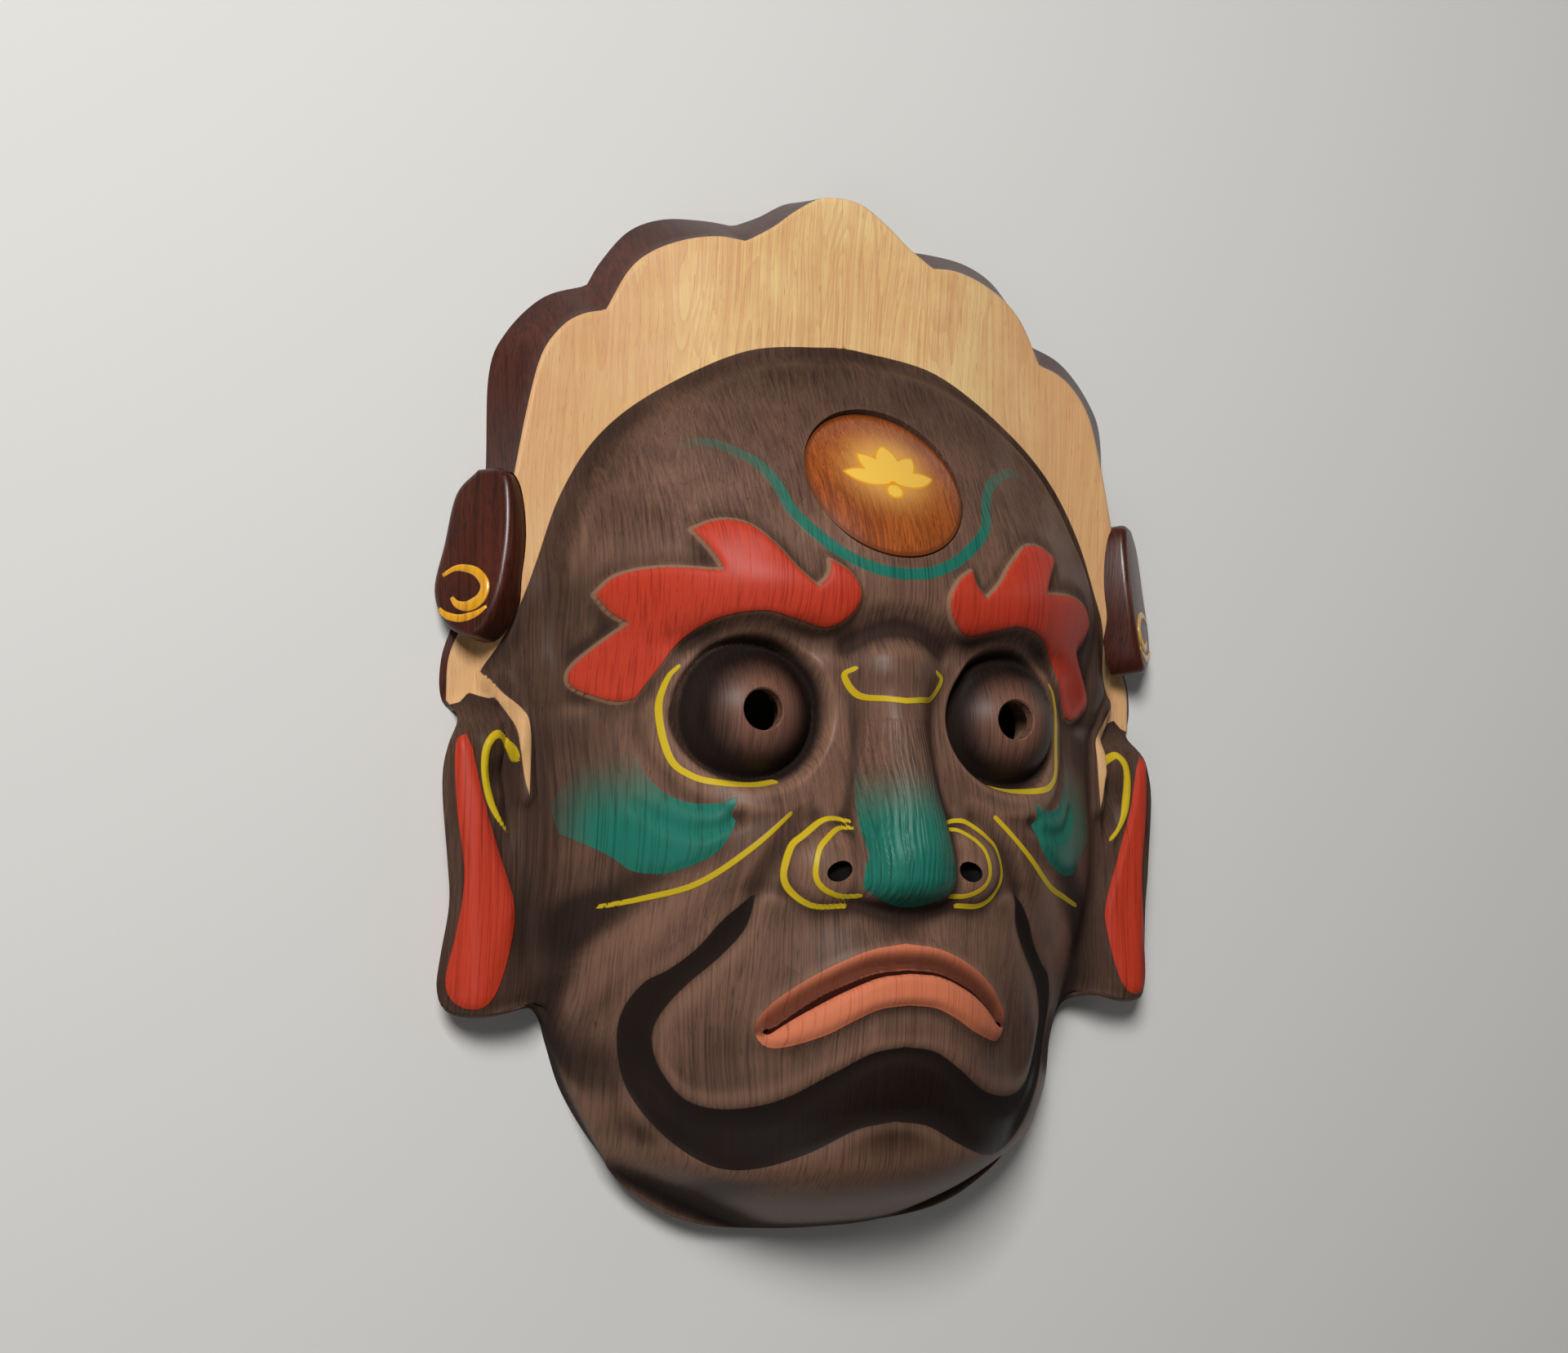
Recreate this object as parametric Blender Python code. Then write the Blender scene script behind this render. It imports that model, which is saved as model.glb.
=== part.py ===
# Carved wooden theatre mask with a scalloped crown, lying on its back rim, face up.
# Metres, +Z out of the face, +Y towards the crown, origin on the floor under the middle.
import math

import bmesh
import bpy
import numpy as np
from mathutils import Matrix

mm = 0.001

# Sizes of the shell
crownTop = 0.1410
chinEnd = 0.1160
earHalf = 0.0955
crownHalf = 0.0823
wall = 0.0080
rimWidth = 0.0085
rimAtCrown = 0.0290
rimAtChin = 0.0410
crownFlare = 0.0045

# Sizes of the carving
eyeSpacing = 0.0648
eyeHeight = 0.0058
ballRadius = 0.0166
ballRise = 0.0145
pupilHole = 0.0094
lensWall = 0.0042
thinHalf = 0.0070
noseRise = 0.0155
tipHalf = 0.0110
nostrilHole = 0.0050
nostrilDepth = 0.0060
browRelief = 0.0018
lobeRelief = 0.0016
lipRise = 0.0026
slitDepth = 0.0036
slitWide = 0.0044
bandDepth = 0.0022
crownStep = 0.0040

# Sizes of the inlaid boss on the forehead
bossWide = 0.0400
bossHigh = 0.0440
bossDome = 0.0042
bossSet = 0.0022
bossLean = 28.5

# Sizes of the temple blocks
blockWide = 0.0240
blockHigh = 0.0405
blockThick = 0.0090
blockEdge = 0.0018
blockTurn = 45.0

gap = 0.0003

columns = 84
ringRows = (34, 2, 9)

for old in list(bpy.data.objects):
    bpy.data.objects.remove(old, do_unlink=True)


def collection(name):
    """A new collection linked to the scene."""
    made = bpy.data.collections.new(name)
    bpy.context.scene.collection.children.link(made)
    return made


def material(name, colour, roughness):
    """A plain surface in one colour."""
    made = bpy.data.materials.new(name)
    made.use_nodes = True
    shader = made.node_tree.nodes["Principled BSDF"]
    shader.inputs["Base Color"].default_value = (*colour, 1.0)
    shader.inputs["Roughness"].default_value = roughness
    return made


def blend(a, b, t):
    """Smooth step from 0 at a to 1 at b."""
    s = np.clip((t - a) / (b - a), 0.0, 1.0)
    return s * s * (3.0 - 2.0 * s)


def hill(ax, y, place, reach, turn=0.0, power=2.0):
    """A soft mound of height one."""
    c = math.cos(math.radians(turn))
    s = math.sin(math.radians(turn))
    u = ((ax - place[0]) * c + (y - place[1]) * s) / reach[0]
    v = ((y - place[1]) * c - (ax - place[0]) * s) / reach[1]
    return np.exp(-((u * u + v * v) ** (power / 2.0)))


def upper(a, b, soft):
    """The larger of two heights with a softened join."""
    h = np.clip(0.5 + 0.5 * (a - b) / soft, 0.0, 1.0)
    return b + (a - b) * h + soft * h * (1.0 - h)


def along(y, at, to):
    """A smooth run of heights up the face."""
    at = np.array(at, float)
    to = np.array(to, float)
    slope = np.gradient(to, at)
    i = np.clip(np.searchsorted(at, y) - 1, 0, len(at) - 2)
    h = at[i + 1] - at[i]
    t = np.clip((y - at[i]) / h, 0.0, 1.0)
    low = to[i] * (1.0 + 2.0 * t) * (1.0 - t) ** 2 + to[i + 1] * t * t * (3.0 - 2.0 * t)
    return low + h * (slope[i] * t * (1.0 - t) ** 2 - slope[i + 1] * t * t * (1.0 - t))


def curve(runs, steps=8):
    """Points of a smooth line through runs of points, with a corner where two runs meet."""
    line = []
    for run in runs:
        p = [np.array(q, float) for q in run]
        if len(p) > 2:
            p = [2 * p[0] - p[1]] + p + [2 * p[-1] - p[-2]]
            for i in range(1, len(p) - 2):
                for k in range(steps):
                    t = k / steps
                    line.append(0.5 * (2 * p[i] + (p[i + 1] - p[i - 1]) * t
                                       + (2 * p[i - 1] - 5 * p[i] + 4 * p[i + 1] - p[i + 2]) * t * t
                                       + (3 * p[i] - p[i - 1] - 3 * p[i + 1] + p[i + 2]) * t ** 3))
        else:
            line.append(p[0])
    line.append(np.array(runs[-1][-1], float))
    return np.array(line)


def within(ax, y, line):
    """Distance to a closed line, positive inside it."""
    start = line
    run = np.roll(line, -1, 0) - line
    length = np.maximum((run ** 2).sum(1), 1e-12)
    near = np.full(np.shape(ax), 1e9)
    cross = np.zeros(np.shape(ax), int)
    for (sx, sy), (rx, ry), n in zip(start, run, length):
        t = np.clip(((ax - sx) * rx + (y - sy) * ry) / n, 0.0, 1.0)
        near = np.minimum(near, (ax - sx - t * rx) ** 2 + (y - sy - t * ry) ** 2)
        crosses = (sy > y) != (sy + ry > y)
        if ry != 0.0:
            cross += crosses & (ax < sx + (y - sy) * rx / ry)
    return np.where(cross % 2 == 1, 1.0, -1.0) * np.sqrt(near)


def beside(ax, y, line):
    """Distance to an open line."""
    near = np.full(np.shape(ax), 1e9)
    for (sx, sy), (ex, ey) in zip(line[:-1], line[1:]):
        rx, ry = ex - sx, ey - sy
        n = max(rx * rx + ry * ry, 1e-12)
        t = np.clip(((ax - sx) * rx + (y - sy) * ry) / n, 0.0, 1.0)
        near = np.minimum(near, (ax - sx - t * rx) ** 2 + (y - sy - t * ry) ** 2)
    return np.sqrt(near)


# Half outlines in millimetres, from the crown down one side
top = crownTop / mm
side = crownHalf / mm
ear = earHalf / mm
chin = -chinEnd / mm
frontEdge = curve([
    [(0, top), (6, top - 1), (13, top - 5.5), (19, top - 10.5), (26, top - 15)],
    [(26, top - 15), (33, top - 14.5), (41, top - 16), (49, top - 19.5), (55, top - 25), (60.5, top - 35.5)],
    [(60.5, top - 35.5), (66, top - 37), (71, top - 40.5), (76, 93), (side - 3, 80), (side, 63)],
    [(side, 63), (side + 3, 45), (side + 7, 32), (ear - 1.5, 21), (ear - 1, 10)],
    [(ear - 1, 10), (ear - 3.2, 6), (ear - 0.4, -1), (ear + 0.8, -10), (ear - 0.8, -28), (ear - 1.5, -38),
     (ear - 0.3, -50), (ear + 0.2, -57), (ear - 1.8, -62), (ear - 7.5, -63.8), (82, -63), (76, -61.3)],
    [(76, -61.3), (71, -63.5), (67.6, -71), (63.6, -82), (57, chin + 21), (51.5, chin + 13.5),
     (44.5, chin + 8), (36.5, chin + 3.7), (27, chin + 1.2), (14, chin), (0, chin)],
])
flare = crownFlare / mm
backEdge = curve([
    [(0, top + flare - 1), (9, top + flare - 2.2), (17, top + flare - 7), (24, top + flare - 10.4)],
    [(24, top + flare - 10.4), (32, top + flare - 10.2), (43, top + flare - 11.4), (52, top + flare - 15.8),
     (59, top + flare - 24.5), (62.5, top + flare - 31)],
    [(62.5, top + flare - 31), (73.5, top + flare - 35.5), (82.5, 100), (side + 4, 89), (side + 4, 64),
     (side + 6, 45), (ear - 3, 30), (ear, 20), (ear - 0.5, 10), (ear - 6.5, 4), (ear - 9, -10),
     (ear - 9.5, -30), (ear - 9, -50), (ear - 12, -57), (75, -60.5), (70, -64), (67.6, -71), (63.6, -82),
     (56, chin + 22), (49, chin + 15), (42, chin + 10.5), (34, chin + 6.8), (24, chin + 4.6), (12, chin + 3.8),
     (0, chin + 4)],
])
faceEdge = curve([[(0, 101), (26, 97.5), (48, 86), (62, 74), (71, 59), (76.7, 42), (82, 26), (87, 17)]])
faceArea = np.vstack([faceEdge, [(79, 6), (78, -30), (78, -200), (-60, -200), (-60, 101)]])
brow = curve([
    [(47.5, 47), (42, 49), (36, 48), (30, 42.5), (26, 37.5), (21.5, 33.3)],
    [(21.5, 33.3), (18.8, 36.5), (18.2, 40)],
    [(18.2, 40), (14, 37), (11.5, 32.5), (13, 28), (18, 24.8), (26, 26.5), (33, 28), (42, 26.5), (48.5, 22),
     (53, 15.5), (57, 9)],
    [(57, 9), (60.5, 8.6), (66, 10.6), (69.6, 13.2), (69.3, 16.5), (65, 21), (59, 26)],
    [(59, 26), (63, 29), (66, 33)],
    [(66, 33), (62, 36.8), (53.5, 38), (41.6, 36.8)],
    [(41.6, 36.8), (43.5, 41), (47.5, 47)],
])
lobe = curve([
    [(91.5, 1.5), (93.8, -1), (93.4, -14), (91.3, -31), (92.5, -44), (94.2, -55), (92.5, -60), (89, -61.5),
     (85.5, -60.5), (82.5, -55.5), (79.8, -45), (79.6, -37.5), (83.5, -25.5), (87.5, -13), (90, -2)],
])
lips = curve([
    [(0, -46.5), (8.5, -47.8), (16.8, -51.2), (24, -55.6), (29, -60), (31.8, -64.6), (30.5, -68.5), (27, -69.5),
     (19, -66.8), (13, -63.6), (7, -61), (0, -60.2)],
])
lips = np.vstack([lips, lips[::-1] * (-1, 1)])
slit = curve([[(0, -52.4), (8, -53.3), (16.8, -57), (23, -61), (28.5, -65.8)]])
bandOuter = curve([[(33, -35), (39, -41), (43.5, -47.5), (48.5, -52.3), (53, -55.5), (56.3, -62), (56.5, -70),
                    (54, -80.5), (47, -90), (38, -96.3), (30, -97), (19, -93), (9, -88), (0, -86.4)]])
bandInner = curve([[(0, -69.4), (8, -70.8), (16, -75.2), (26, -81.2), (36, -83.4), (43.5, -81.7), (48, -76),
                    (50.2, -70), (50.2, -65), (48, -60), (44.3, -55), (39, -49.3), (34.5, -42.8), (33, -35)]])
band = np.vstack([bandOuter, [(-8, -88), (-8, -70.8)], bandInner])
lock = curve([[(84, 15), (80.5, 9), (78.6, 2), (77.4, -13)]])
fold = curve([[(37, -18.5), (44, -21.5), (51, -20), (57, -15)]])
rootArch = curve([[(0, 27.2), (4.5, 26.8), (8.6, 25.0), (11.6, 21.4)]])


def front(ax, y, fine=True):
    """Height of the carved face in millimetres, from the middle of the eyes."""
    spine = along(y, (-118, -112, -106, -98, -85, -70, -55, -35, -10, 8, 20, 40, 61, 83, 96, 108),
                  (-34, -17, -4, 5, 8.5, 9.5, 11, 13, 12.5, 12.5, 14.5, 19.5, 11, -1, -8.5, -15))
    fall = along(y, (-118, -112, -106, -98, -90, -72, -50, -30, 15, 45, 110),
                 (3.6, 3.2, 2.4, 1.5, 1.25, 1.12, 0.92, 0.76, 0.77, 0.75, 0.74))
    z = spine - fall * 0.001 * ax ** 2.5
    # Muzzle, cheeks and chin
    z = z + 8.5 * hill(ax, y, (0, -61), (30, 27), 0, 3)
    z = z + 5.0 * hill(ax, y, (37, -21), (24, 17), -15, 2.4)
    z = z + 3.5 * hill(ax, y, (0, -99), (34, 10))
    # Brow ridge over a hollow for each eye
    z = z + 1.8 * hill(ax, y, (24, 31), (26, 9), -4, 3) - 1.6 * hill(ax, y, (20, 40), (12, 8))
    z = z + 3.2 * hill(ax, y, (78, 14), (9, 15)) - 1.5 * hill(ax, y, (0, -43.5), (10, 4))
    eye = (eyeSpacing / mm / 2, eyeHeight / mm)
    away = np.hypot(ax - eye[0], y - eye[1])
    lid = 1 - blend(21.5, 23.6, np.hypot(ax - eye[0], y - eye[1] + 1))
    z = z + 1.2 * lid * blend(26, 10, y) * blend(30, 44, ax + 0.4 * np.abs(y))
    z = z - 8.5 * (1 - blend(13.5, 19.4, away)) - 3.5 * hill(ax, y, (32, 21.5), (17, 4.5), 0, 3)
    ball = np.sqrt(np.maximum((ballRadius / mm) ** 2 - away ** 2, 0.0)) + (ballRise - ballRadius) / mm
    z = np.where(away < ballRadius / mm, upper(z, ball, 0.8), z)
    # Nose with a knuckle, a hooked tip and two wings
    rise = noseRise / mm
    ridge = along(y, (-46, -41, -38.8, -37, -34, -30, -20, -8, 4, 11, 16, 20.5, 24.5, 29),
                  (-8, -4, 4, 10.5, 14.8, 16, 15, 12, 8.5, 7.2, 6.6, 4.6, -0.5, -8)) * rise / 15.5
    half = along(y, (-46, -34, -24, -8, 8, 16, 24), (9, tipHalf / mm, tipHalf / mm - 1, 8, 8.2, 8.4, 9.5))
    z = upper(z, spine + ridge - 6.5 * (ax / half) ** 2.2, 3.5)
    wing = np.hypot((ax - 16.0) / 12.0, (y + 29.5) / 11.0)
    z = upper(z, spine + 6.5 - 7.0 * wing ** 3, 1.5)
    if not fine:
        z = z - 2.0
        plate = -16 - 6 * blend(20, 70, ax) - 17 * blend(70, 97, ax) * blend(40, 22, y)
        return np.where(y > 17, np.minimum(z, plate + 40 * blend(-3, 24, within(ax, y, faceArea))), z)
    # Flames of the brows, lips, and the painted groove round the muzzle
    z = z - 2.0 * (1 - blend(0.3, 3.2, beside(ax, y, rootArch)))
    z = z + browRelief / mm * blend(-0.6, 0.9, within(ax, y, brow))
    z = z + lipRise / mm * blend(-1.0, 2.0, within(ax, y, lips))
    z = z - bandDepth / mm * blend(-0.5, 2.2, within(ax, y, band))
    z = z - 1.2 * (1 - blend(0.2, 2.0, beside(ax, y, fold)))
    # Plate of the crown behind the face, the lock of hair, the ears
    step = crownStep / mm
    plate = -14 - 6 * blend(20, 70, ax) - 17 * blend(70, 97, ax) * blend(40, 22, y)
    inFace = within(ax, y, faceArea)
    crowned = plate + np.maximum(z - plate, step) * blend(-0.5, 6.5, inFace)
    earPlane = -23.5 - 8 * blend(0, 12, y) - (1.5 + 4 * blend(-30, -55, y)) * blend(88, 96, ax)
    aside = blend(72, 81, ax) * blend(-72, -62, y)
    eared = upper(z, earPlane, 4.0) * aside + z * (1 - aside)
    z = np.where(ax > 60, eared + (crowned - eared) * blend(3, 20, y), np.where(y > 17, crowned, eared))
    z = z - 5.5 * (1 - blend(0.5, 2.6, np.abs(ax - 81.6 - (y + 5) * 0.02))) * blend(-30, -12, y) * blend(11, 5, y)
    z = z + 3.4 * (1 - blend(0.8, 2.6, beside(ax, y, lock) - 1.0 * blend(-13, 14, y)))
    z = z + lobeRelief / mm * blend(-0.5, 1.2, within(ax, y, lobe))
    return z


def rimLevel(y):
    """Height of the plane that the mask lies on."""
    return -(rimAtCrown + (rimAtChin - rimAtCrown) * (140.0 - y) / 255.0) / mm


def lip(y):
    """Least height of the side wall, more round the chin."""
    return 2.0 + 8.0 * blend(-80.0, -98.0, y)


def under(ax, y):
    """Height of the hollow back, one wall under the face."""
    thick = wall / mm
    low = front(ax, y, False) - thick
    for share in (0.5, 0.95):
        for k in range(8):
            turn = k * math.pi / 4
            shiftX = share * thick * math.cos(turn)
            shiftY = share * thick * math.sin(turn)
            drop = thick * math.sqrt(1 - share * share)
            low = np.minimum(low, front(np.abs(ax + shiftX), y + shiftY, False) - drop)
    return low


def carve(bm, rowsFront, rowsWall, rowsHollow):
    """Turn a sphere into the shell: the face, its side wall, the rim and the hollow."""
    middle = 10.0
    rows = rowsFront + rowsWall + 1 + rowsHollow
    co = np.array([v.co for v in bm.verts])
    ring = np.rint(np.arccos(np.clip(co[:, 2], -1, 1)) / math.pi * rows)
    angle = np.arctan2(co[:, 1], np.abs(co[:, 0]))
    sign = np.where(co[:, 0] < 0, -1.0, 1.0)

    def reach(line, turn):
        polar = np.arctan2(line[:, 1] - middle, line[:, 0])
        far = np.hypot(line[:, 0], line[:, 1] - middle)
        order = np.argsort(polar)
        return np.interp(turn, polar[order], far[order])

    outer = reach(frontEdge, angle)
    back = reach(backEdge, angle)
    inner = back - rimWidth / mm
    plain = 1.0 / np.hypot(np.cos(angle) / (ear - 2), np.sin(angle) / 129.0)
    share = ring / rowsFront
    r = share * (plain + (outer - plain) * blend(0.25, 1.0, share))
    x = r * np.cos(angle)
    y = middle + r * np.sin(angle)
    floor = rimLevel(y)
    z = upper(front(x, y), floor + lip(y), 1.5)
    edgeZ = upper(front(outer * np.cos(angle), middle + outer * np.sin(angle)), floor + lip(y), 1.5)
    down = np.clip((ring - rowsFront) / rowsWall, 0.0, 1.0)
    isWall = (ring > rowsFront) & (ring <= rowsFront + rowsWall)
    wallR = outer + (back - outer) * down
    backFloor = rimLevel(middle + back * np.sin(angle))
    x = np.where(isWall, wallR * np.cos(angle), x)
    y = np.where(isWall, middle + wallR * np.sin(angle), y)
    z = np.where(isWall, edgeZ + (backFloor - edgeZ) * down, z)
    inward = np.clip((ring - rowsFront - rowsWall - 1) / rowsHollow, 0.0, 1.0)
    isHollow = ring > rowsFront + rowsWall
    hollowR = (1 - inward) * (plain - 10 + (inner - plain + 10) * blend(0.6, 0.0, inward))
    hx = hollowR * np.cos(angle)
    hy = middle + hollowR * np.sin(angle)
    x = np.where(isHollow, hx, x)
    y = np.where(isHollow, hy, y)
    rise = 1 - (1 - np.clip(inward / 0.2, 0.0, 1.0)) ** 2
    rim = rimLevel(hy)
    z = np.where(isHollow, rim + np.maximum(under(np.abs(hx), hy) - rim, 0.6) * rise, z)
    for v, px, py, pz in zip(bm.verts, x * sign, y, z):
        v.co = (px * mm, py * mm, pz * mm)


# The shell starts as a sphere in the frame of the face
body = bmesh.new()
bmesh.ops.create_uvsphere(body, u_segments=columns, v_segments=sum(ringRows) + 1, radius=1.0)
carve(body, *ringRows)
bmesh.ops.triangulate(body, faces=body.faces)

# The face leans until the rim is level, then moves so its middle is over the origin
lay = Matrix.Rotation(-math.atan2(rimAtChin - rimAtCrown, 0.255), 4, "X")
spread = [lay @ v.co for v in body.verts]
middleY = (min(p.y for p in spread) + max(p.y for p in spread)) / 2
lay = Matrix.Translation((0, -middleY, -min(p.z for p in spread))) @ lay


def finish(bm, name, look):
    """A finished object in its own collection."""
    bmesh.ops.transform(bm, matrix=lay, verts=bm.verts)
    bmesh.ops.recalc_face_normals(bm, faces=bm.faces)
    data = bpy.data.meshes.new(name)
    bm.to_mesh(data)
    bm.free()
    made = bpy.data.objects.new(name, data)
    collection(name).objects.link(made)
    data.materials.append(look)
    return made


def cutter(bm, name, place):
    """A hidden tool body for a Boolean cut."""
    bmesh.ops.transform(bm, matrix=lay, verts=bm.verts)
    data = bpy.data.meshes.new(name)
    bm.to_mesh(data)
    bm.free()
    made = bpy.data.objects.new(name, data)
    place.objects.link(made)
    made.hide_render = True
    made.display_type = "WIRE"
    return made


def subtract(body, tool):
    """Cut one body out of another."""
    step = body.modifiers.new("cut " + tool.name, "BOOLEAN")
    step.operation = "DIFFERENCE"
    step.solver = "EXACT"
    step.object = tool


darkWood = material("dark stained wood", (0.077, 0.049, 0.036), 0.4)
amberWood = material("amber lacquered wood", (0.31, 0.08, 0.015), 0.3)
redWood = material("mahogany stained wood", (0.06, 0.02, 0.008), 0.35)
tools = collection("tools")

shell = finish(body, "mask_shell", darkWood)

# Pupils bored through, with the wall behind them thinned, and nostrils sunk
for label, sign in (("left", 1), ("right", -1)):
    bm = bmesh.new()
    bmesh.ops.create_cone(bm, cap_ends=True, segments=20, radius1=thinHalf * 1.3, radius2=thinHalf, depth=0.03)
    bmesh.ops.translate(bm, verts=bm.verts, vec=(sign * eyeSpacing / 2, eyeHeight, ballRise - lensWall - 0.015))
    subtract(shell, cutter(bm, "thinning tool " + label, tools))
    bm = bmesh.new()
    bmesh.ops.create_cone(bm, cap_ends=True, segments=20, radius1=pupilHole / 2, radius2=pupilHole / 2, depth=0.08)
    bmesh.ops.translate(bm, verts=bm.verts, vec=(sign * eyeSpacing / 2, eyeHeight, 0.0))
    subtract(shell, cutter(bm, "pupil tool " + label, tools))
    bm = bmesh.new()
    bmesh.ops.create_cone(bm, cap_ends=True, segments=16, radius1=nostrilHole / 2, radius2=nostrilHole / 2,
                          depth=nostrilDepth * 2)
    turn = Matrix.Translation((sign * 0.0165, -0.0304, 0.0195)) @ Matrix.Rotation(math.radians(38), 4, "X")
    bmesh.ops.scale(bm, verts=bm.verts, vec=(1.35, 1.0, 1.0))
    bmesh.ops.transform(bm, matrix=turn, verts=bm.verts)
    subtract(shell, cutter(bm, "nostril tool " + label, tools))

# Slit between the lips, an arched groove
way = [(-x, y) for x, y in slit[::-1][:-1]] + [(x, y) for x, y in slit]
path = bpy.data.curves.new("slit path", "CURVE")
path.dimensions = "3D"
path.bevel_depth = slitWide / 2
path.bevel_resolution = 1
path.use_fill_caps = True
spline = path.splines.new("POLY")
spline.points.add((len(way) - 1) // 2)
for point, (px, py) in zip(spline.points, way[::2]):
    pz = float(front(np.array([abs(px)]), np.array([py]))[0])
    point.co = (px * mm, py * mm, pz * mm - slitDepth + slitWide / 2, 1.0)
tube = bpy.data.objects.new("slit path", path)
tools.objects.link(tube)
bpy.context.view_layer.update()
made = bpy.data.meshes.new_from_object(tube.evaluated_get(bpy.context.evaluated_depsgraph_get()))
bm = bmesh.new()
bm.from_mesh(made)
bmesh.ops.remove_doubles(bm, verts=bm.verts, dist=0.00001)
bmesh.ops.recalc_face_normals(bm, faces=bm.faces)
bpy.data.objects.remove(tube, do_unlink=True)
subtract(shell, cutter(bm, "slit tool", tools))

# Boss on the forehead, a shallow dome set in a seat
bossPlace = (Matrix.Translation((0, 0.0615, 0.0090)) @ Matrix.Rotation(math.radians(-bossLean), 4, "X"))


def disc(bm, grow, under, over):
    """An oval plug with a domed top."""
    wide = bossWide / 2 + grow
    high = bossHigh / 2 + grow
    bmesh.ops.create_uvsphere(bm, u_segments=28, v_segments=10, radius=1.0)
    for v in bm.verts:
        if v.co.z < 0.01:
            flat = 1.0 if v.co.z > -0.01 else math.hypot(v.co.x, v.co.y)
            level = -under if v.co.z < -0.01 else 0.0
            round_ = max(math.hypot(v.co.x, v.co.y), 1e-6)
            v.co = (v.co.x / round_ * flat * wide, v.co.y / round_ * flat * high, level)
        else:
            v.co = (v.co.x * wide, v.co.y * high, v.co.z ** 2 * over)


bm = bmesh.new()
disc(bm, 0.0, bossSet, bossDome)
bmesh.ops.transform(bm, matrix=bossPlace, verts=bm.verts)
boss = finish(bm, "forehead_boss", amberWood)
bm = bmesh.new()
bmesh.ops.create_cone(bm, cap_ends=True, segments=36, radius1=1.0, radius2=1.0, depth=1.0)
bmesh.ops.scale(bm, verts=bm.verts, vec=(bossWide / 2 + gap, bossHigh / 2 + gap, 0.016 + bossSet + gap))
bmesh.ops.translate(bm, verts=bm.verts, vec=(0, 0, (0.016 - bossSet - gap) / 2))
bmesh.ops.transform(bm, matrix=bossPlace, verts=bm.verts)
subtract(shell, cutter(bm, "boss seat tool", tools))

# Blocks at the temples, rounded shields turned outwards
shield = curve([[(-0.14, 0.50), (0.12, 0.49), (0.25, 0.39), (0.29, 0.05), (0.20, -0.30), (-0.04, -0.49),
                 (-0.38, -0.43), (-0.56, -0.22), (-0.48, 0.06), (-0.38, 0.36), (-0.14, 0.50)]], 3)[:-1]


def block(bm, sign, grow):
    """A shield-shaped plate with softened edges."""
    ring = []
    for px, py in shield:
        ring.append(bm.verts.new((-sign * px * (blockWide + 2 * grow), py * (blockHigh + 2 * grow), 0)))
    face = bm.faces.new(ring)
    made = bmesh.ops.extrude_face_region(bm, geom=[face])
    lift = [v for v in made["geom"] if isinstance(v, bmesh.types.BMVert)]
    bmesh.ops.translate(bm, verts=lift, vec=(0, 0, blockThick + grow))
    bmesh.ops.recalc_face_normals(bm, faces=bm.faces)
    if grow == 0.0:
        high = [e for e in bm.edges if all(v.co.z > blockThick * 0.9 for v in e.verts)]
        bmesh.ops.bevel(bm, geom=high, offset=blockEdge, segments=2, affect="EDGES", profile=0.5, material=-1)
    bmesh.ops.translate(bm, verts=bm.verts, vec=(0, 0, -blockThick - grow))
    place = Matrix.Translation((sign * ((crownHalf + earHalf) / 2 + 0.0004), 0.0440, -0.0200))
    turn = Matrix.Rotation(math.radians(sign * blockTurn), 4, "Y") @ Matrix.Rotation(math.radians(-4.5), 4, "X")
    bmesh.ops.transform(bm, matrix=place @ turn, verts=bm.verts)


bm = bmesh.new()
bmesh.ops.create_cube(bm, size=1.0)
bmesh.ops.scale(bm, verts=bm.verts, vec=(0.3, 0.4, 0.02))
bmesh.ops.translate(bm, verts=bm.verts, vec=(0, 0, -0.01 + gap))
bmesh.ops.transform(bm, matrix=lay.inverted(), verts=bm.verts)
floorTool = cutter(bm, "floor tool", tools)

for label, sign in (("left", 1), ("right", -1)):
    bm = bmesh.new()
    block(bm, sign, 0.0)
    subtract(finish(bm, "temple_block_" + label, redWood), floorTool)
    bm = bmesh.new()
    block(bm, sign, gap)
    subtract(shell, cutter(bm, "block seat tool " + label, tools))
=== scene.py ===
# Dressed model of a carved and lacquered theatre mask, lying face up on a studio floor.
# The shell is carved again at a finer step than the solid that it replaces.
import math

import bmesh
import bpy
import numpy as np
from mathutils import Matrix, Vector


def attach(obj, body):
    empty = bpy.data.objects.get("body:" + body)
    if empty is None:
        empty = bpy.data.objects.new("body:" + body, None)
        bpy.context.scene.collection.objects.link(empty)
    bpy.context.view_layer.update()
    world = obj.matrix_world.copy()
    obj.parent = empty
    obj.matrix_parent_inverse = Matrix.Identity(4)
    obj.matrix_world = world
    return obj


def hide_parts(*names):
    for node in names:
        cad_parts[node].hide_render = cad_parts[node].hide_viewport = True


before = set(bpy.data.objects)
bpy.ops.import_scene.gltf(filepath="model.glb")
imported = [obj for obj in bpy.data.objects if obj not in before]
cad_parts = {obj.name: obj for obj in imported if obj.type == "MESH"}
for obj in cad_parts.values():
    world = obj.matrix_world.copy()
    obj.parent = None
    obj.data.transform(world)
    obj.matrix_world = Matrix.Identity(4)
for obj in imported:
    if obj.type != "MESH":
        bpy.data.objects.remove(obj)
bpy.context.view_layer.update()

print("frame loaded", sorted(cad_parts))

mm = 0.001
bpy.context.scene.view_settings.view_transform = "Standard"


def shiftedBy(where):
    return Matrix.Translation([c * mm for c in where])


def turnedBy(degrees, axis):
    return Matrix.Rotation(math.radians(degrees), 4, axis)


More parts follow.
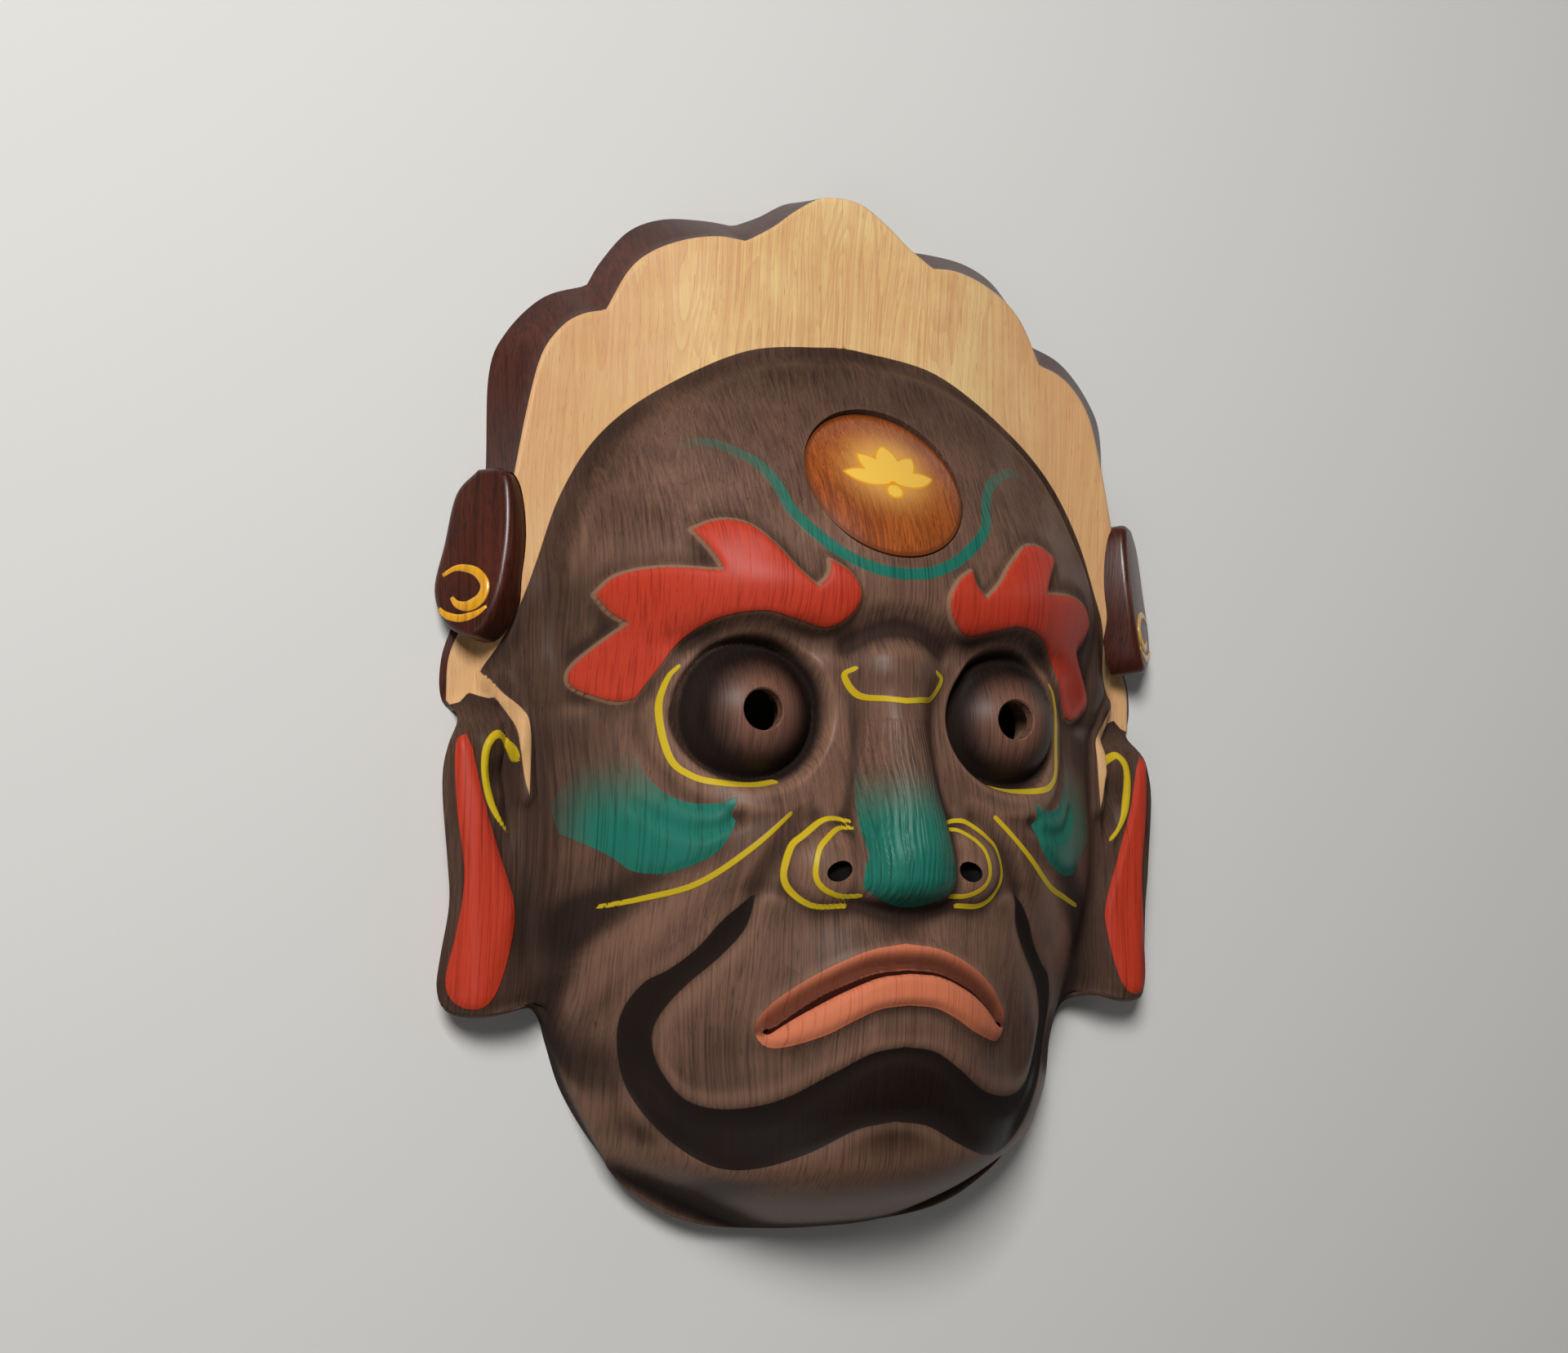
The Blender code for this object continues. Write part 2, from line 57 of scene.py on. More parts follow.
# The carving is laid out in a frame of its own: millimetres, z out of the face from the middle of the
# eyes. lay turns it back until its rim is level and lifts it on to the floor.
layDown = {"leanDeg": -2.6943, "back": -12.826, "lift": 35.549}
lay = shiftedBy((0, layDown["back"], layDown["lift"])) @ turnedBy(layDown["leanDeg"], "X")


# Small sums that every carved form is made of
def blend(a, b, t):
    # 0 before a, 1 past b and a smooth step between
    s = np.clip((t - a) / (b - a), 0.0, 1.0)
    return s * s * (3.0 - 2.0 * s)


def hill(ax, y, place, reach, turn=0.0, power=2.0):
    # a rounded rise of height 1; a higher power gives it a flatter top
    c, s = math.cos(math.radians(turn)), math.sin(math.radians(turn))
    u = ((ax - place[0]) * c + (y - place[1]) * s) / reach[0]
    v = ((y - place[1]) * c - (ax - place[0]) * s) / reach[1]
    return np.exp(-((u * u + v * v) ** (power / 2.0)))


def upper(a, b, soft):
    # the higher of two surfaces, with their meeting rounded
    h = np.clip(0.5 + 0.5 * (a - b) / soft, 0.0, 1.0)
    return b + (a - b) * h + soft * h * (1.0 - h)


def along(y, at, to):
    # a smooth line through given values, as the centre line's profile
    at, to = np.array(at, float), np.array(to, float)
    slope = np.gradient(to, at)
    i = np.clip(np.searchsorted(at, y) - 1, 0, len(at) - 2)
    h = at[i + 1] - at[i]
    t = np.clip((y - at[i]) / h, 0.0, 1.0)
    low = to[i] * (1.0 + 2.0 * t) * (1.0 - t) ** 2 + to[i + 1] * t * t * (3.0 - 2.0 * t)
    return low + h * (slope[i] * t * (1.0 - t) ** 2 - slope[i + 1] * t * t * (1.0 - t))


def curve(runs, steps=8):
    # a smooth line through runs of points, with a corner where two runs meet
    line = []
    for run in runs:
        p = [np.array(q, float) for q in run]
        if len(p) > 2:
            p = [2 * p[0] - p[1]] + p + [2 * p[-1] - p[-2]]
            for i in range(1, len(p) - 2):
                for k in range(steps):
                    t = k / steps
                    line.append(0.5 * (2 * p[i] + (p[i + 1] - p[i - 1]) * t
                                       + (2 * p[i - 1] - 5 * p[i] + 4 * p[i + 1] - p[i + 2]) * t * t
                                       + (3 * p[i] - p[i - 1] - 3 * p[i + 1] + p[i + 2]) * t ** 3))
        else:
            line.append(p[0])
    line.append(np.array(runs[-1][-1], float))
    return np.array(line)


def nearby(ax, y, line, reach):
    # which points lie in the line's box or within reach of it
    low, high = line.min(0) - reach, line.max(0) + reach
    return (ax > low[0]) & (ax < high[0]) & (y > low[1]) & (y < high[1])


def within(ax, y, line, reach=5.0):
    # signed distance to a closed line, positive inside; past its reach it is only known to be outside
    ax, y = np.broadcast_arrays(np.asarray(ax, float), y)
    some = nearby(ax, y, line, reach)
    full = np.full(ax.shape, -reach)
    full[some] = signedWithin(ax[some], y[some], line)
    return full


def signedWithin(ax, y, line):
    # distance to the nearest run, signed by how often a ray from the point crosses the line
    run = np.roll(line, -1, 0) - line
    length = np.maximum((run ** 2).sum(1), 1e-12)
    near = np.full(np.shape(ax), 1e9)
    cross = np.zeros(np.shape(ax), int)
    for (sx, sy), (rx, ry), n in zip(line, run, length):
        t = np.clip(((ax - sx) * rx + (y - sy) * ry) / n, 0.0, 1.0)
        near = np.minimum(near, (ax - sx - t * rx) ** 2 + (y - sy - t * ry) ** 2)
        if ry != 0.0:
            cross += ((sy > y) != (sy + ry > y)) & (ax < sx + (y - sy) * rx / ry)
    return np.where(cross % 2 == 1, 1.0, -1.0) * np.sqrt(near)


def beside(ax, y, line, widths=None, reach=6.0):
    # distance to an open line, less its half width where it has one
    ax, y = np.broadcast_arrays(np.asarray(ax, float), y)
    some = nearby(ax, y, line, reach)
    full = np.full(ax.shape, float(reach))
    ax, y = ax[some], y[some]
    near = np.full(ax.shape, 1e9)
    for i in range(len(line) - 1):
        sx, sy = line[i]
        rx, ry = line[i + 1] - line[i]
        n = max(rx * rx + ry * ry, 1e-12)
        t = np.clip(((ax - sx) * rx + (y - sy) * ry) / n, 0.0, 1.0)
        far = np.sqrt((ax - sx - t * rx) ** 2 + (y - sy - t * ry) ** 2)
        if widths is not None:
            far = far - (widths[i] + (widths[i + 1] - widths[i]) * t)
        near = np.minimum(near, far)
    full[some] = near
    return full


def stroke(ax, y, points, half, ends=(0.3, 0.3)):
    # how far inside a brush stroke a point lies; the stroke thins towards its ends
    line = curve([points], 6)
    t = np.linspace(0.0, 1.0, len(line))
    swell = np.minimum(ends[0] + (1 - ends[0]) * np.clip(t / 0.3, 0, 1),
                       ends[1] + (1 - ends[1]) * np.clip((1 - t) / 0.3, 0, 1))
    return -beside(ax, y, line, half * swell)


# Sizes of the shell, as in the solid model
shell = {
    "crown": 141.0, "side": 82.3, "ear": 95.5, "chin": -116.0, "flare": 4.5, "wall": 8.0, "rim": 8.5,
    "rimAtCrown": 29.0, "rimAtChin": 41.0, "edgeRound": 1.1, "crownStep": 4.0,
    "columns": 480, "faceRows": 176, "roundRows": 3, "wallRows": 5, "hollowRows": 13,
    "smoothing": 3, "lobeSmoothing": 16,
}
eye = {"x": 32.4, "y": 5.8, "ball": 16.6, "rise": 14.5, "pupil": 4.7, "lens": 4.2, "thin": 7.0}
top, side, ear, chin, flare = shell["crown"], shell["side"], shell["ear"], shell["chin"], shell["flare"]

# Half outlines from the crown down one side
frontEdge = curve([
    [(0, top), (6, top - 1), (13, top - 5.5), (19, top - 10.5), (26, top - 15)],
    [(26, top - 15), (33, top - 14.5), (41, top - 16), (49, top - 19.5), (55, top - 25), (60.5, top - 35.5)],
    [(60.5, top - 35.5), (66, top - 37), (71, top - 40.5), (76, 93), (side - 3, 80), (side, 63)],
    [(side, 63), (side + 3, 45), (side + 7, 32), (ear - 1.5, 21), (ear - 1, 10)],
    [(ear - 1, 10), (ear - 3.2, 6), (ear - 0.4, -1), (ear + 0.8, -10), (ear - 0.8, -28), (ear - 1.5, -38),
     (ear - 0.3, -50), (ear + 0.2, -57), (ear - 1.8, -62), (ear - 7.5, -63.8), (82, -63), (76, -61.3)],
    [(76, -61.3), (71, -63.5), (67.6, -71), (63.6, -82), (57, chin + 21), (51.5, chin + 13.5),
     (44.5, chin + 8), (36.5, chin + 3.7), (27, chin + 1.2), (14, chin), (0, chin)],
])
backEdge = curve([
    [(0, top + flare - 1), (9, top + flare - 2.2), (17, top + flare - 7), (24, top + flare - 10.4)],
    [(24, top + flare - 10.4), (32, top + flare - 10.2), (43, top + flare - 11.4), (52, top + flare - 15.8),
     (59, top + flare - 24.5), (62.5, top + flare - 31)],
    [(62.5, top + flare - 31), (73.5, top + flare - 35.5), (82.5, 100), (side + 4, 89), (side + 4, 64),
     (side + 6, 45), (ear - 3, 30), (ear, 20), (ear - 0.5, 10), (ear - 6.5, 4), (ear - 9, -10),
     (ear - 9.5, -30), (ear - 9, -50), (ear - 12, -57), (75, -60.5), (70, -64), (67.6, -71), (63.6, -82),
     (56, chin + 22), (49, chin + 15), (42, chin + 10.5), (34, chin + 6.8), (24, chin + 4.6),
     (12, chin + 3.8), (0, chin + 4)],
])
faceEdge = curve([[(0, 101), (5, 100.8), (26, 97.5), (48, 86), (62, 74), (71, 59), (76.7, 42), (82, 26),
                   (87, 17)]])
faceArea = np.vstack([faceEdge, [(79, 6), (78, -30), (78, -200), (-60, -200), (-60, 101)]])
brow = curve([
    [(47.5, 47), (42, 49), (36, 48), (30, 42.5), (26, 37.5), (21.5, 33.3)],
    [(21.5, 33.3), (18.8, 36.5), (18.2, 40)],
    [(18.2, 40), (14, 37), (11.5, 32.5), (13, 28), (18, 24.8), (26, 26.5), (33, 28), (42, 26.5), (48.5, 22),
     (53, 15.5), (57, 9)],
    [(57, 9), (60.5, 8.6), (66, 10.6), (69.6, 13.2), (69.3, 16.5), (65, 21), (59, 26)],
    [(59, 26), (63, 29), (66, 33)],
    [(66, 33), (62, 36.8), (53.5, 38), (41.6, 36.8)],
    [(41.6, 36.8), (43.5, 41), (47.5, 47)],
])
lobe = curve([
    [(91.5, 1.5), (93.8, -1), (93.4, -14), (91.3, -31), (92.5, -44), (94.2, -55), (92.5, -60), (89, -61.5),
     (85.5, -60.5), (82.5, -55.5), (79.8, -45), (79.6, -37.5), (83.5, -25.5), (87.5, -13), (90, -2)],
])
lips = curve([
    [(0, -46.5), (8.5, -47.8), (16.8, -51.2), (24, -55.6), (29, -60), (31.8, -64.6), (30.5, -68.5),
     (27, -69.5), (19, -66.8), (13, -63.6), (7, -61), (0, -60.2)],
])
lips = np.vstack([lips, lips[::-1] * (-1, 1)])
slit = curve([[(0, -52.4), (8, -53.3), (16.8, -57), (23, -61), (28.5, -65.6), (29.9, -66.8)]])
bandOuter = curve([[(33, -35), (39, -41), (43.5, -47.5), (48.5, -52.3), (53, -55.5), (56.3, -62), (56.5, -70),
                    (54, -80.5), (47, -90), (38, -96.3), (30, -97), (19, -93), (9, -88), (0, -86.4)]])
bandInner = curve([[(0, -69.4), (8, -70.8), (16, -75.2), (26, -81.2), (36, -83.4), (43.5, -81.7), (48, -76),
                    (50.2, -70), (50.2, -65), (48, -60), (44.3, -55), (39, -49.3), (34.5, -42.8), (33, -35)]])
band = np.vstack([bandOuter, [(-8, -88), (-8, -70.8)], bandInner])
lock = curve([[(84, 15), (80.5, 9), (78.6, 2), (77.4, -13)]])
fold = curve([[(37, -18.5), (44, -21.5), (51, -20), (57, -15)]])
smile = curve([[(20.1, -17.2), (24.7, -19.7), (29.9, -27.3), (33.4, -34.5)]])
cheekPatch = curve([
    [(37.9, -13.9), (39.2, -17.7)], [(39.2, -17.7), (37.8, -19.2)],
    [(37.8, -19.2), (39.5, -22.6), (41.9, -26.1), (46.2, -28.9), (50.9, -30.7), (53.9, -30.9), (58, -30),
     (62.3, -26.4), (71, -21.5)],
    [(71, -21.5), (72, -14), (66, -5), (57.5, -1)],
    [(57.5, -1), (54.9, -8.3), (53.3, -10.7), (51, -13.2), (47, -15.1), (42, -15.3), (37.9, -13.9)],
])
rootArch = curve([[(0, 27.2), (4.5, 26.8), (8.6, 25.0), (11.6, 21.4)]])
lidTop = curve([[(49.5, 8), (48.2, 12.0), (45.2, 16.1), (39.5, 19.3), (32.3, 20.4), (24.5, 17.9),
                 (19.5, 13.6), (17.5, 9)]])
earCurl = curve([[(79.9, -4.3), (81.1, -1), (83.9, 1.7), (86.6, -1.2), (87.1, -6.6), (86, -13.1),
                  (84.2, -17.4), (81.6, -21)]])


def crownPlate(ax, y):
    # how far the board of the crown falls back towards the temples
    return -6 * blend(20, 70, ax) - 17 * blend(70, 97, ax) * blend(40, 22, y)


def front(ax, y, fine=True):
    # height of the carved face at |x| and y; without the fine carving it gives the form of the hollow
    spine = along(y, (-118, -112, -106, -98, -85, -70, -55, -35, -10, 8, 20, 40, 61, 83, 96, 108),
                  (-34, -17, -4, 5, 8.5, 9.5, 11, 13, 12.5, 12.5, 14.5, 19.5, 11, -1, -8.5, -15))
    fall = along(y, (-118, -112, -106, -98, -90, -72, -50, -30, 15, 45, 110),
                 (3.6, 3.2, 2.4, 1.5, 1.25, 1.12, 0.92, 0.76, 0.77, 0.75, 0.74))
    z = spine - fall * 0.001 * ax ** 2.5
    # muzzle, cheeks, chin, brow ridge
    z = z + 8.5 * hill(ax, y, (0, -61), (30, 27), 0, 3)
    z = z + 5.0 * hill(ax, y, (37, -21), (24, 17), -15, 2.4) + 2.0 * hill(ax, y, (66, -48), (12, 15))
    z = z + 3.5 * hill(ax, y, (0, -99), (34, 10))
    z = z + 1.8 * hill(ax, y, (24, 31), (26, 9), -4, 3) - 1.6 * hill(ax, y, (20, 40), (12, 8))
    z = z + 3.2 * hill(ax, y, (78, 14), (9, 15)) - 1.5 * hill(ax, y, (0, -43.5), (10, 4))
    # eye hollow, lid fold on its outer side, ball
    away = np.hypot(ax - eye["x"], y - eye["y"])
    lid = 1 - blend(21.5, 23.6, np.hypot(ax - eye["x"], y - eye["y"] + 1))
    z = z + 1.2 * lid * blend(26, 10, y) * blend(30, 44, ax + 0.4 * np.abs(y))
    z = z - 8.0 * (1 - blend(14.8, 18.2, away)) - 3.5 * hill(ax, y, (32, 21.5), (17, 4.5), 0, 3)
    ball = np.sqrt(np.maximum(eye["ball"] ** 2 - away ** 2, 0.0)) + eye["rise"] - eye["ball"]
    z = np.where(away < eye["ball"], upper(z, ball, 0.7), z)
    # nose, its root rounded between the brows
    ridge = along(y, (-46, -41, -38.8, -37, -34, -30, -20, -8, 4, 11, 16, 20.5, 24.5, 29),
                  (-8, -4, 4, 10.5, 14.8, 16, 15, 12, 8.5, 7.2, 6.6, 4.6, -0.5, -8))
    half = along(y, (-46, -34, -24, -8, 7, 15, 24), (9, 11, 10, 8, 8.6, 11.2, 11))
    z = upper(z, spine + ridge - 6.5 * (ax / half) ** 2.2, 3.5)
    wing = np.hypot((ax - 16.0) / 12.0, (y + 29.5) / 11.0)
    z = upper(z, spine + 6.5 - 7.0 * wing ** 3, 1.5)
    if not fine:
        z = z - 2.0
        plate = crownPlate(ax, y) - 16
        return np.where(y > 17, np.minimum(z, plate + 40 * blend(-3, 24, within(ax, y, faceArea, 30))), z)
    # hollow over the nose's root, upper lid, cheek creases
    z = z - 1.3 * (1 - blend(0.3, 5.5, beside(ax, y, rootArch)))
    z = z + 0.7 * (1 - blend(0.3, 2.2, beside(ax, y, lidTop)))
    z = z - 1.3 * (1 - blend(0.2, 3.6, beside(ax, y, smile)))
    z = z - 1.3 * (1 - blend(0.1, 2.2, beside(ax, y, fold)))
    # brows with a chamfered edge, lips, groove round the muzzle with a lifted inner lip
    z = z + 1.9 * blend(-1.3, 0.1, within(ax, y, brow))
    slitY = np.interp(ax, slit[:, 0], slit[:, 1])
    off = np.where(y < slitY, -1.0, 1.0) * beside(ax, y, slit, reach=9)
    inLips = within(ax, y, lips)
    z = z + 2.6 * blend(-0.6, 2.0, inLips) * blend(1.2, -0.6, off)
    z = z + 0.9 * blend(-0.8, 0.6, inLips) * blend(-0.6, 1.2, off)
    z = z - 3.2 * (1 - blend(0.3, 5.8, off)) * blend(-0.9, 0.2, off) * blend(31.5, 28.5, ax)
    inBand = within(ax, y, band)
    toInner, toOuter = beside(ax, y, bandInner, reach=20), beside(ax, y, bandOuter, reach=20)
    muzzle = np.where((inBand < 0) & (toInner < toOuter), toInner, -toInner)
    z = z - 0.9 * blend(-0.4, 1.2, inBand)
    z = z + 0.9 * blend(-0.7, 1.3, muzzle) * (1 - blend(3.0, 15.0, muzzle)) * (toInner < 19)
    z = z + 1.2 * blend(-0.6, 2.2, within(ax, y, cheekPatch)) * blend(-10, -20, y) * blend(66, 52, ax)
    # crown plate behind the face, lock of hair, ears
    plate = crownPlate(ax, y) - 14
    inFace = within(ax, y, faceArea, 8)
    crowned = plate + np.maximum(z - plate, shell["crownStep"]) * blend(-0.5, 6.5, inFace)
    earPlane = -23.5 - 8 * blend(0, 12, y) - (1.5 + 4 * blend(-30, -55, y)) * blend(88, 96, ax)
    aside = blend(71, 80, ax + 3.5 * blend(-45, -66, y)) * blend(-74, -62, y)
    eared = upper(z, earPlane, 4.0) * aside + z * (1 - aside)
    z = np.where(ax > 60, eared + (crowned - eared) * blend(3, 20, y), np.where(y > 17, crowned, eared))
    earRim = np.abs(ax - 81.2 - (y + 5) * 0.02)
    z = z - 3.5 * (1 - blend(0.4, 1.9, earRim)) * blend(-26, -12, y) * blend(9, 3, y)
    z = z + 3.0 * (1 - blend(0.8, 2.8, beside(ax, y, lock) - 1.0 * blend(-13, 14, y)))
    z = z + 1.2 * (1 - blend(0.3, 1.5, beside(ax, y, earCurl)))
    z = z - 3.5 * hill(ax, y, (83.2, -7.5), (2.2, 4.2))
    z = z + 1.6 * blend(-0.5, 0.9, within(ax, y, lobe))
    return z


def rimLevel(y):
    # the plane of the rim that the mask lies on
    return -(shell["rimAtCrown"] + (shell["rimAtChin"] - shell["rimAtCrown"]) * (140.0 - y) / 255.0)


def lipLevel(y):
    # the lowest that the face's edge comes: a little over the rim, more round the chin
    return rimLevel(y) + 2.0 + 8.0 * blend(-80.0, -98.0, y)


def under(ax, y):
    # height of the hollow back, one wall under the face
    thick = shell["wall"]
    low = front(ax, y, False) - thick
    for share in (0.5, 0.95):
        for k in range(8):
            turn = k * math.pi / 4
            sideX, sideY = share * thick * math.cos(turn), share * thick * math.sin(turn)
            drop = thick * math.sqrt(1 - share * share)
            low = np.minimum(low, front(np.abs(ax + sideX), y + sideY, False) - drop)
    return low


def carve(bm):
    # a sphere becomes the shell: rings of the face, the rounded edge, the side wall, the rim and the hollow
    faceRows, roundRows = shell["faceRows"], shell["roundRows"]
    wallRows, hollowRows = shell["wallRows"], shell["hollowRows"]
    middle, roundOff = 10.0, shell["edgeRound"]
    rows = faceRows + roundRows + wallRows + 1 + hollowRows
    co = np.array([v.co for v in bm.verts])
    ring = np.rint(np.arccos(np.clip(co[:, 2], -1, 1)) / math.pi * rows)
    angle = np.arctan2(co[:, 1], np.abs(co[:, 0]))
    sign = np.where(co[:, 0] < 0, -1.0, 1.0)

    def reach(line):
        # how far out an outline lies in each column's direction
        polar = np.arctan2(line[:, 1] - middle, line[:, 0])
        order = np.argsort(polar)
        return np.interp(angle, polar[order], np.hypot(line[:, 0], line[:, 1] - middle)[order])

    outer, back = reach(frontEdge), reach(backEdge)
    plain = 1.0 / np.hypot(np.cos(angle) / (ear - 2), np.sin(angle) / 129.0)
    share = np.minimum(ring / faceRows, 1.0)
    r = share * (plain + (outer - roundOff - plain) * blend(0.25, 1.0, share))
    bend = np.clip((ring - faceRows) / roundRows, 0.0, 1.0) * math.pi / 2
    r = r + roundOff * np.sin(bend)
    x, y = r * np.cos(angle), middle + r * np.sin(angle)
    z = upper(front(np.abs(x), y), lipLevel(y), 1.5) - roundOff * (1 - np.cos(bend))
    edge = middle + outer * np.sin(angle)
    edgeZ = upper(front(outer * np.cos(angle), edge), lipLevel(edge), 1.5) - roundOff
    down = np.clip((ring - faceRows - roundRows) / wallRows, 0.0, 1.0)
    isWall = (ring > faceRows + roundRows) & (ring <= faceRows + roundRows + wallRows)
    wallR = outer + (back - outer) * down
    x = np.where(isWall, wallR * np.cos(angle), x)
    y = np.where(isWall, middle + wallR * np.sin(angle), y)
    z = np.where(isWall, edgeZ + (rimLevel(middle + back * np.sin(angle)) - edgeZ) * down, z)
    inward = np.clip((ring - faceRows - roundRows - wallRows - 1) / hollowRows, 0.0, 1.0)
    isHollow = ring > faceRows + roundRows + wallRows
    hollowR = (1 - inward) * (plain - 10 + (back - shell["rim"] - plain + 10) * blend(0.6, 0.0, inward))
    hx, hy = hollowR * np.cos(angle), middle + hollowR * np.sin(angle)
    rise = 1 - (1 - np.clip(inward / 0.2, 0.0, 1.0)) ** 2
    rim = rimLevel(hy)
    x, y = np.where(isHollow, hx, x), np.where(isHollow, hy, y)
    roof = np.zeros(len(z))
    roof[isHollow] = under(np.abs(hx[isHollow]), hy[isHollow])
    z = np.where(isHollow, rim + np.maximum(roof - rim, 0.6) * rise, z)
    for v, px, py, pz in zip(bm.verts, x * sign, y, z):
        v.co = (px * mm, py * mm, pz * mm)
    return ring


# Materials
def linear(hexColour):
    # an sRGB hex colour as linear values
    raw = [int(hexColour[i:i + 2], 16) / 255 for i in (1, 3, 5)]
    return tuple(c / 12.92 if c <= 0.04045 else ((c + 0.055) / 1.055) ** 2.4 for c in raw) + (1.0,)


def node(mat, kind, links=None, **settings):
    # adds a node; links maps an input to (node, output) or to a value
    made = mat.node_tree.nodes.new(kind)
    for key, value in settings.items():
        setattr(made, key, value)
    for key, value in (links or {}).items():
        if isinstance(value, tuple) and len(value) == 2 and isinstance(value[0], bpy.types.Node):
            mat.node_tree.links.new(value[0].outputs[value[1]], made.inputs[key])
        else:
            made.inputs[key].default_value = value
    return made


def newMaterial(name, roughness, specular=0.3, coat=0.0):
    mat = bpy.data.materials.new(name)
    mat.use_nodes = True
    shader = mat.node_tree.nodes["Principled BSDF"]
    shader.inputs["Roughness"].default_value = roughness
    shader.inputs["Specular IOR Level"].default_value = specular
    shader.inputs["Coat Weight"].default_value = coat
    shader.inputs["Coat Roughness"].default_value = 0.14
    return mat, shader


def plainPaint(name, hexColour, roughness, specular=0.3):
    # one even colour without grain
    mat, shader = newMaterial(name, roughness, specular)
    shader.inputs["Base Color"].default_value = linear(hexColour)
    return mat


def grainTone(mat, grey, dark, light, low, high, most=1.0):
    # a colour that runs from dark to light with a grey pattern
    share = node(mat, "ShaderNodeMapRange", {0: grey, 1: low, 2: high, 4: most})
    return node(mat, "ShaderNodeMix", {0: (share, 0), 6: dark, 7: light}, data_type="RGBA"), 2


def regionShare(mat, region, low, high, most=1.0):
    # a region is kept as a distance in millimetres from its edge; the share runs from low to high
    mark = node(mat, "ShaderNodeAttribute", attribute_name=region)
    span = {0: (mark, "Fac"), 1: low, 2: high, 4: most}
    return node(mat, "ShaderNodeMapRange", span, interpolation_type="SMOOTHSTEP")


def paintOver(mat, under, over, region, low=-0.12, high=0.12, most=1.0, fade=None):
    # one coat of paint on a region
    share = regionShare(mat, region, low, high, most)
    if fade:
        thin = node(mat, "ShaderNodeAttribute", attribute_name=fade)
        share = node(mat, "ShaderNodeMath", {0: (share, 0), 1: (thin, "Fac")}, operation="MULTIPLY")
    return node(mat, "ShaderNodeMix", {0: (share, 0), 6: under, 7: over}, data_type="RGBA"), 2


def raised(mat, height, region, low, high, lift):
    # a region that stands lift millimetres proud
    share = regionShare(mat, region, low, high)
    return node(mat, "ShaderNodeMath", {0: (share, 0), 1: lift * mm, 2: height}, operation="MULTIPLY_ADD"), 0


# Plain sawn wood that runs up the mask, in millimetres: fibres, open pores, growth rings, clouds of stain
grain = {
    "fibre": 0.42, "fibreLength": 60.0, "pore": 0.18, "poreLength": 4.5, "ring": 2.6, "ringBend": 1.6,
    "cloud": 26.0, "wander": 5.0, "wanderLength": 60.0, "depth": 0.12,
}


def woodGrain(mat, seed=0.0, size=1.0):
    # fibres, pores, rings and clouds, each as a grey output
    spot = node(mat, "ShaderNodeTexCoord")
    shift = node(mat, "ShaderNodeMapping", {0: (spot, "Object"), 1: (seed, seed * 0.7, seed * 1.3)})
    wave = node(mat, "ShaderNodeTexNoise", {0: (shift, 0), 2: 1000.0 / grain["wanderLength"], 3: 1.0})
    bent = node(mat, "ShaderNodeVectorMath", {0: (wave, "Color"), 1: (0.5, 0.5, 0.5)}, operation="SUBTRACT")
    way = 2 * grain["wander"] * mm
    scaled = node(mat, "ShaderNodeVectorMath", {0: (bent, 0), 1: (way, 0.0, way)}, operation="MULTIPLY")
    moved = node(mat, "ShaderNodeVectorMath", {0: (shift, 0), 1: (scaled, 0)}, operation="ADD")
    fibre, pore = grain["fibre"] * size, grain["pore"] * size
    stretch = (1.0, fibre / grain["fibreLength"], grain["depth"])
    long = node(mat, "ShaderNodeMapping", {0: (moved, 0), 3: stretch})
    fibres = node(mat, "ShaderNodeTexNoise", {0: (long, 0), 2: 1000.0 / fibre, 3: 2.0, 4: 0.6})
    stretch = (1.0, pore / grain["poreLength"], grain["depth"] * 2)
    short = node(mat, "ShaderNodeMapping", {0: (moved, 0), 3: stretch})
    pores = node(mat, "ShaderNodeTexNoise", {0: (short, 0), 2: 1000.0 / pore, 3: 1.0})
    board = node(mat, "ShaderNodeMapping", {0: (moved, 0), 3: (1.0, 0.07, 0.35)})
    perMetre = 1000.0 / (grain["ring"] * 5 * size)
    rings = node(mat, "ShaderNodeTexNoise", {0: (board, 0), 2: perMetre, 3: 1.0, 8: grain["ringBend"]})
    clouds = node(mat, "ShaderNodeTexNoise", {0: (moved, 0), 2: 1000.0 / grain["cloud"], 3: 3.0})
    return (fibres, 0), (pores, 0), (rings, 0), (clouds, 0)


def ringLines(mat, rings, under, dark, most, perRing=9.0):
    # growth rings drawn as soft lines where the ring pattern repeats
    many = node(mat, "ShaderNodeMath", {0: rings, 1: perRing}, operation="MULTIPLY")
    part = node(mat, "ShaderNodeMath", {0: (many, 0)}, operation="FRACT")
    line = node(mat, "ShaderNodeMapRange", {0: (part, 0), 1: 0.25, 2: 1.0, 4: most})
    return node(mat, "ShaderNodeMix", {0: (line, 0), 6: under, 7: dark}, data_type="RGBA"), 2


# Colours of the face's wood and of what is brushed over it; hollow is the near-black of the painted shade
paint = {
    "wood": "#65493B", "woodDark": "#3E2C23", "woodLight": "#86634F", "woodPore": "#33241B",
    "hollow": "#1C120D", "maple": "#CCA871", "mapleRed": "#BB8860", "mapleLight": "#DCC48C",
    "maplePore": "#99683F", "lock": "#A98459", "vermilion": "#AB3420", "vermilionDark": "#7C2012",
    "vermilionPore": "#7A1E10", "teal": "#1B6353", "tealDark": "#0F4237",
    "yellow": "#B79C14", "lips": "#BE6C4C", "lipsDark": "#94442F", "lipShade": "#30100A", "band": "#140C09",
    "edge": "#86614A", "ballWarm": "#714D3E", "ballDark": "#110A08",
}
paint = {key: linear(value) for key, value in paint.items()}


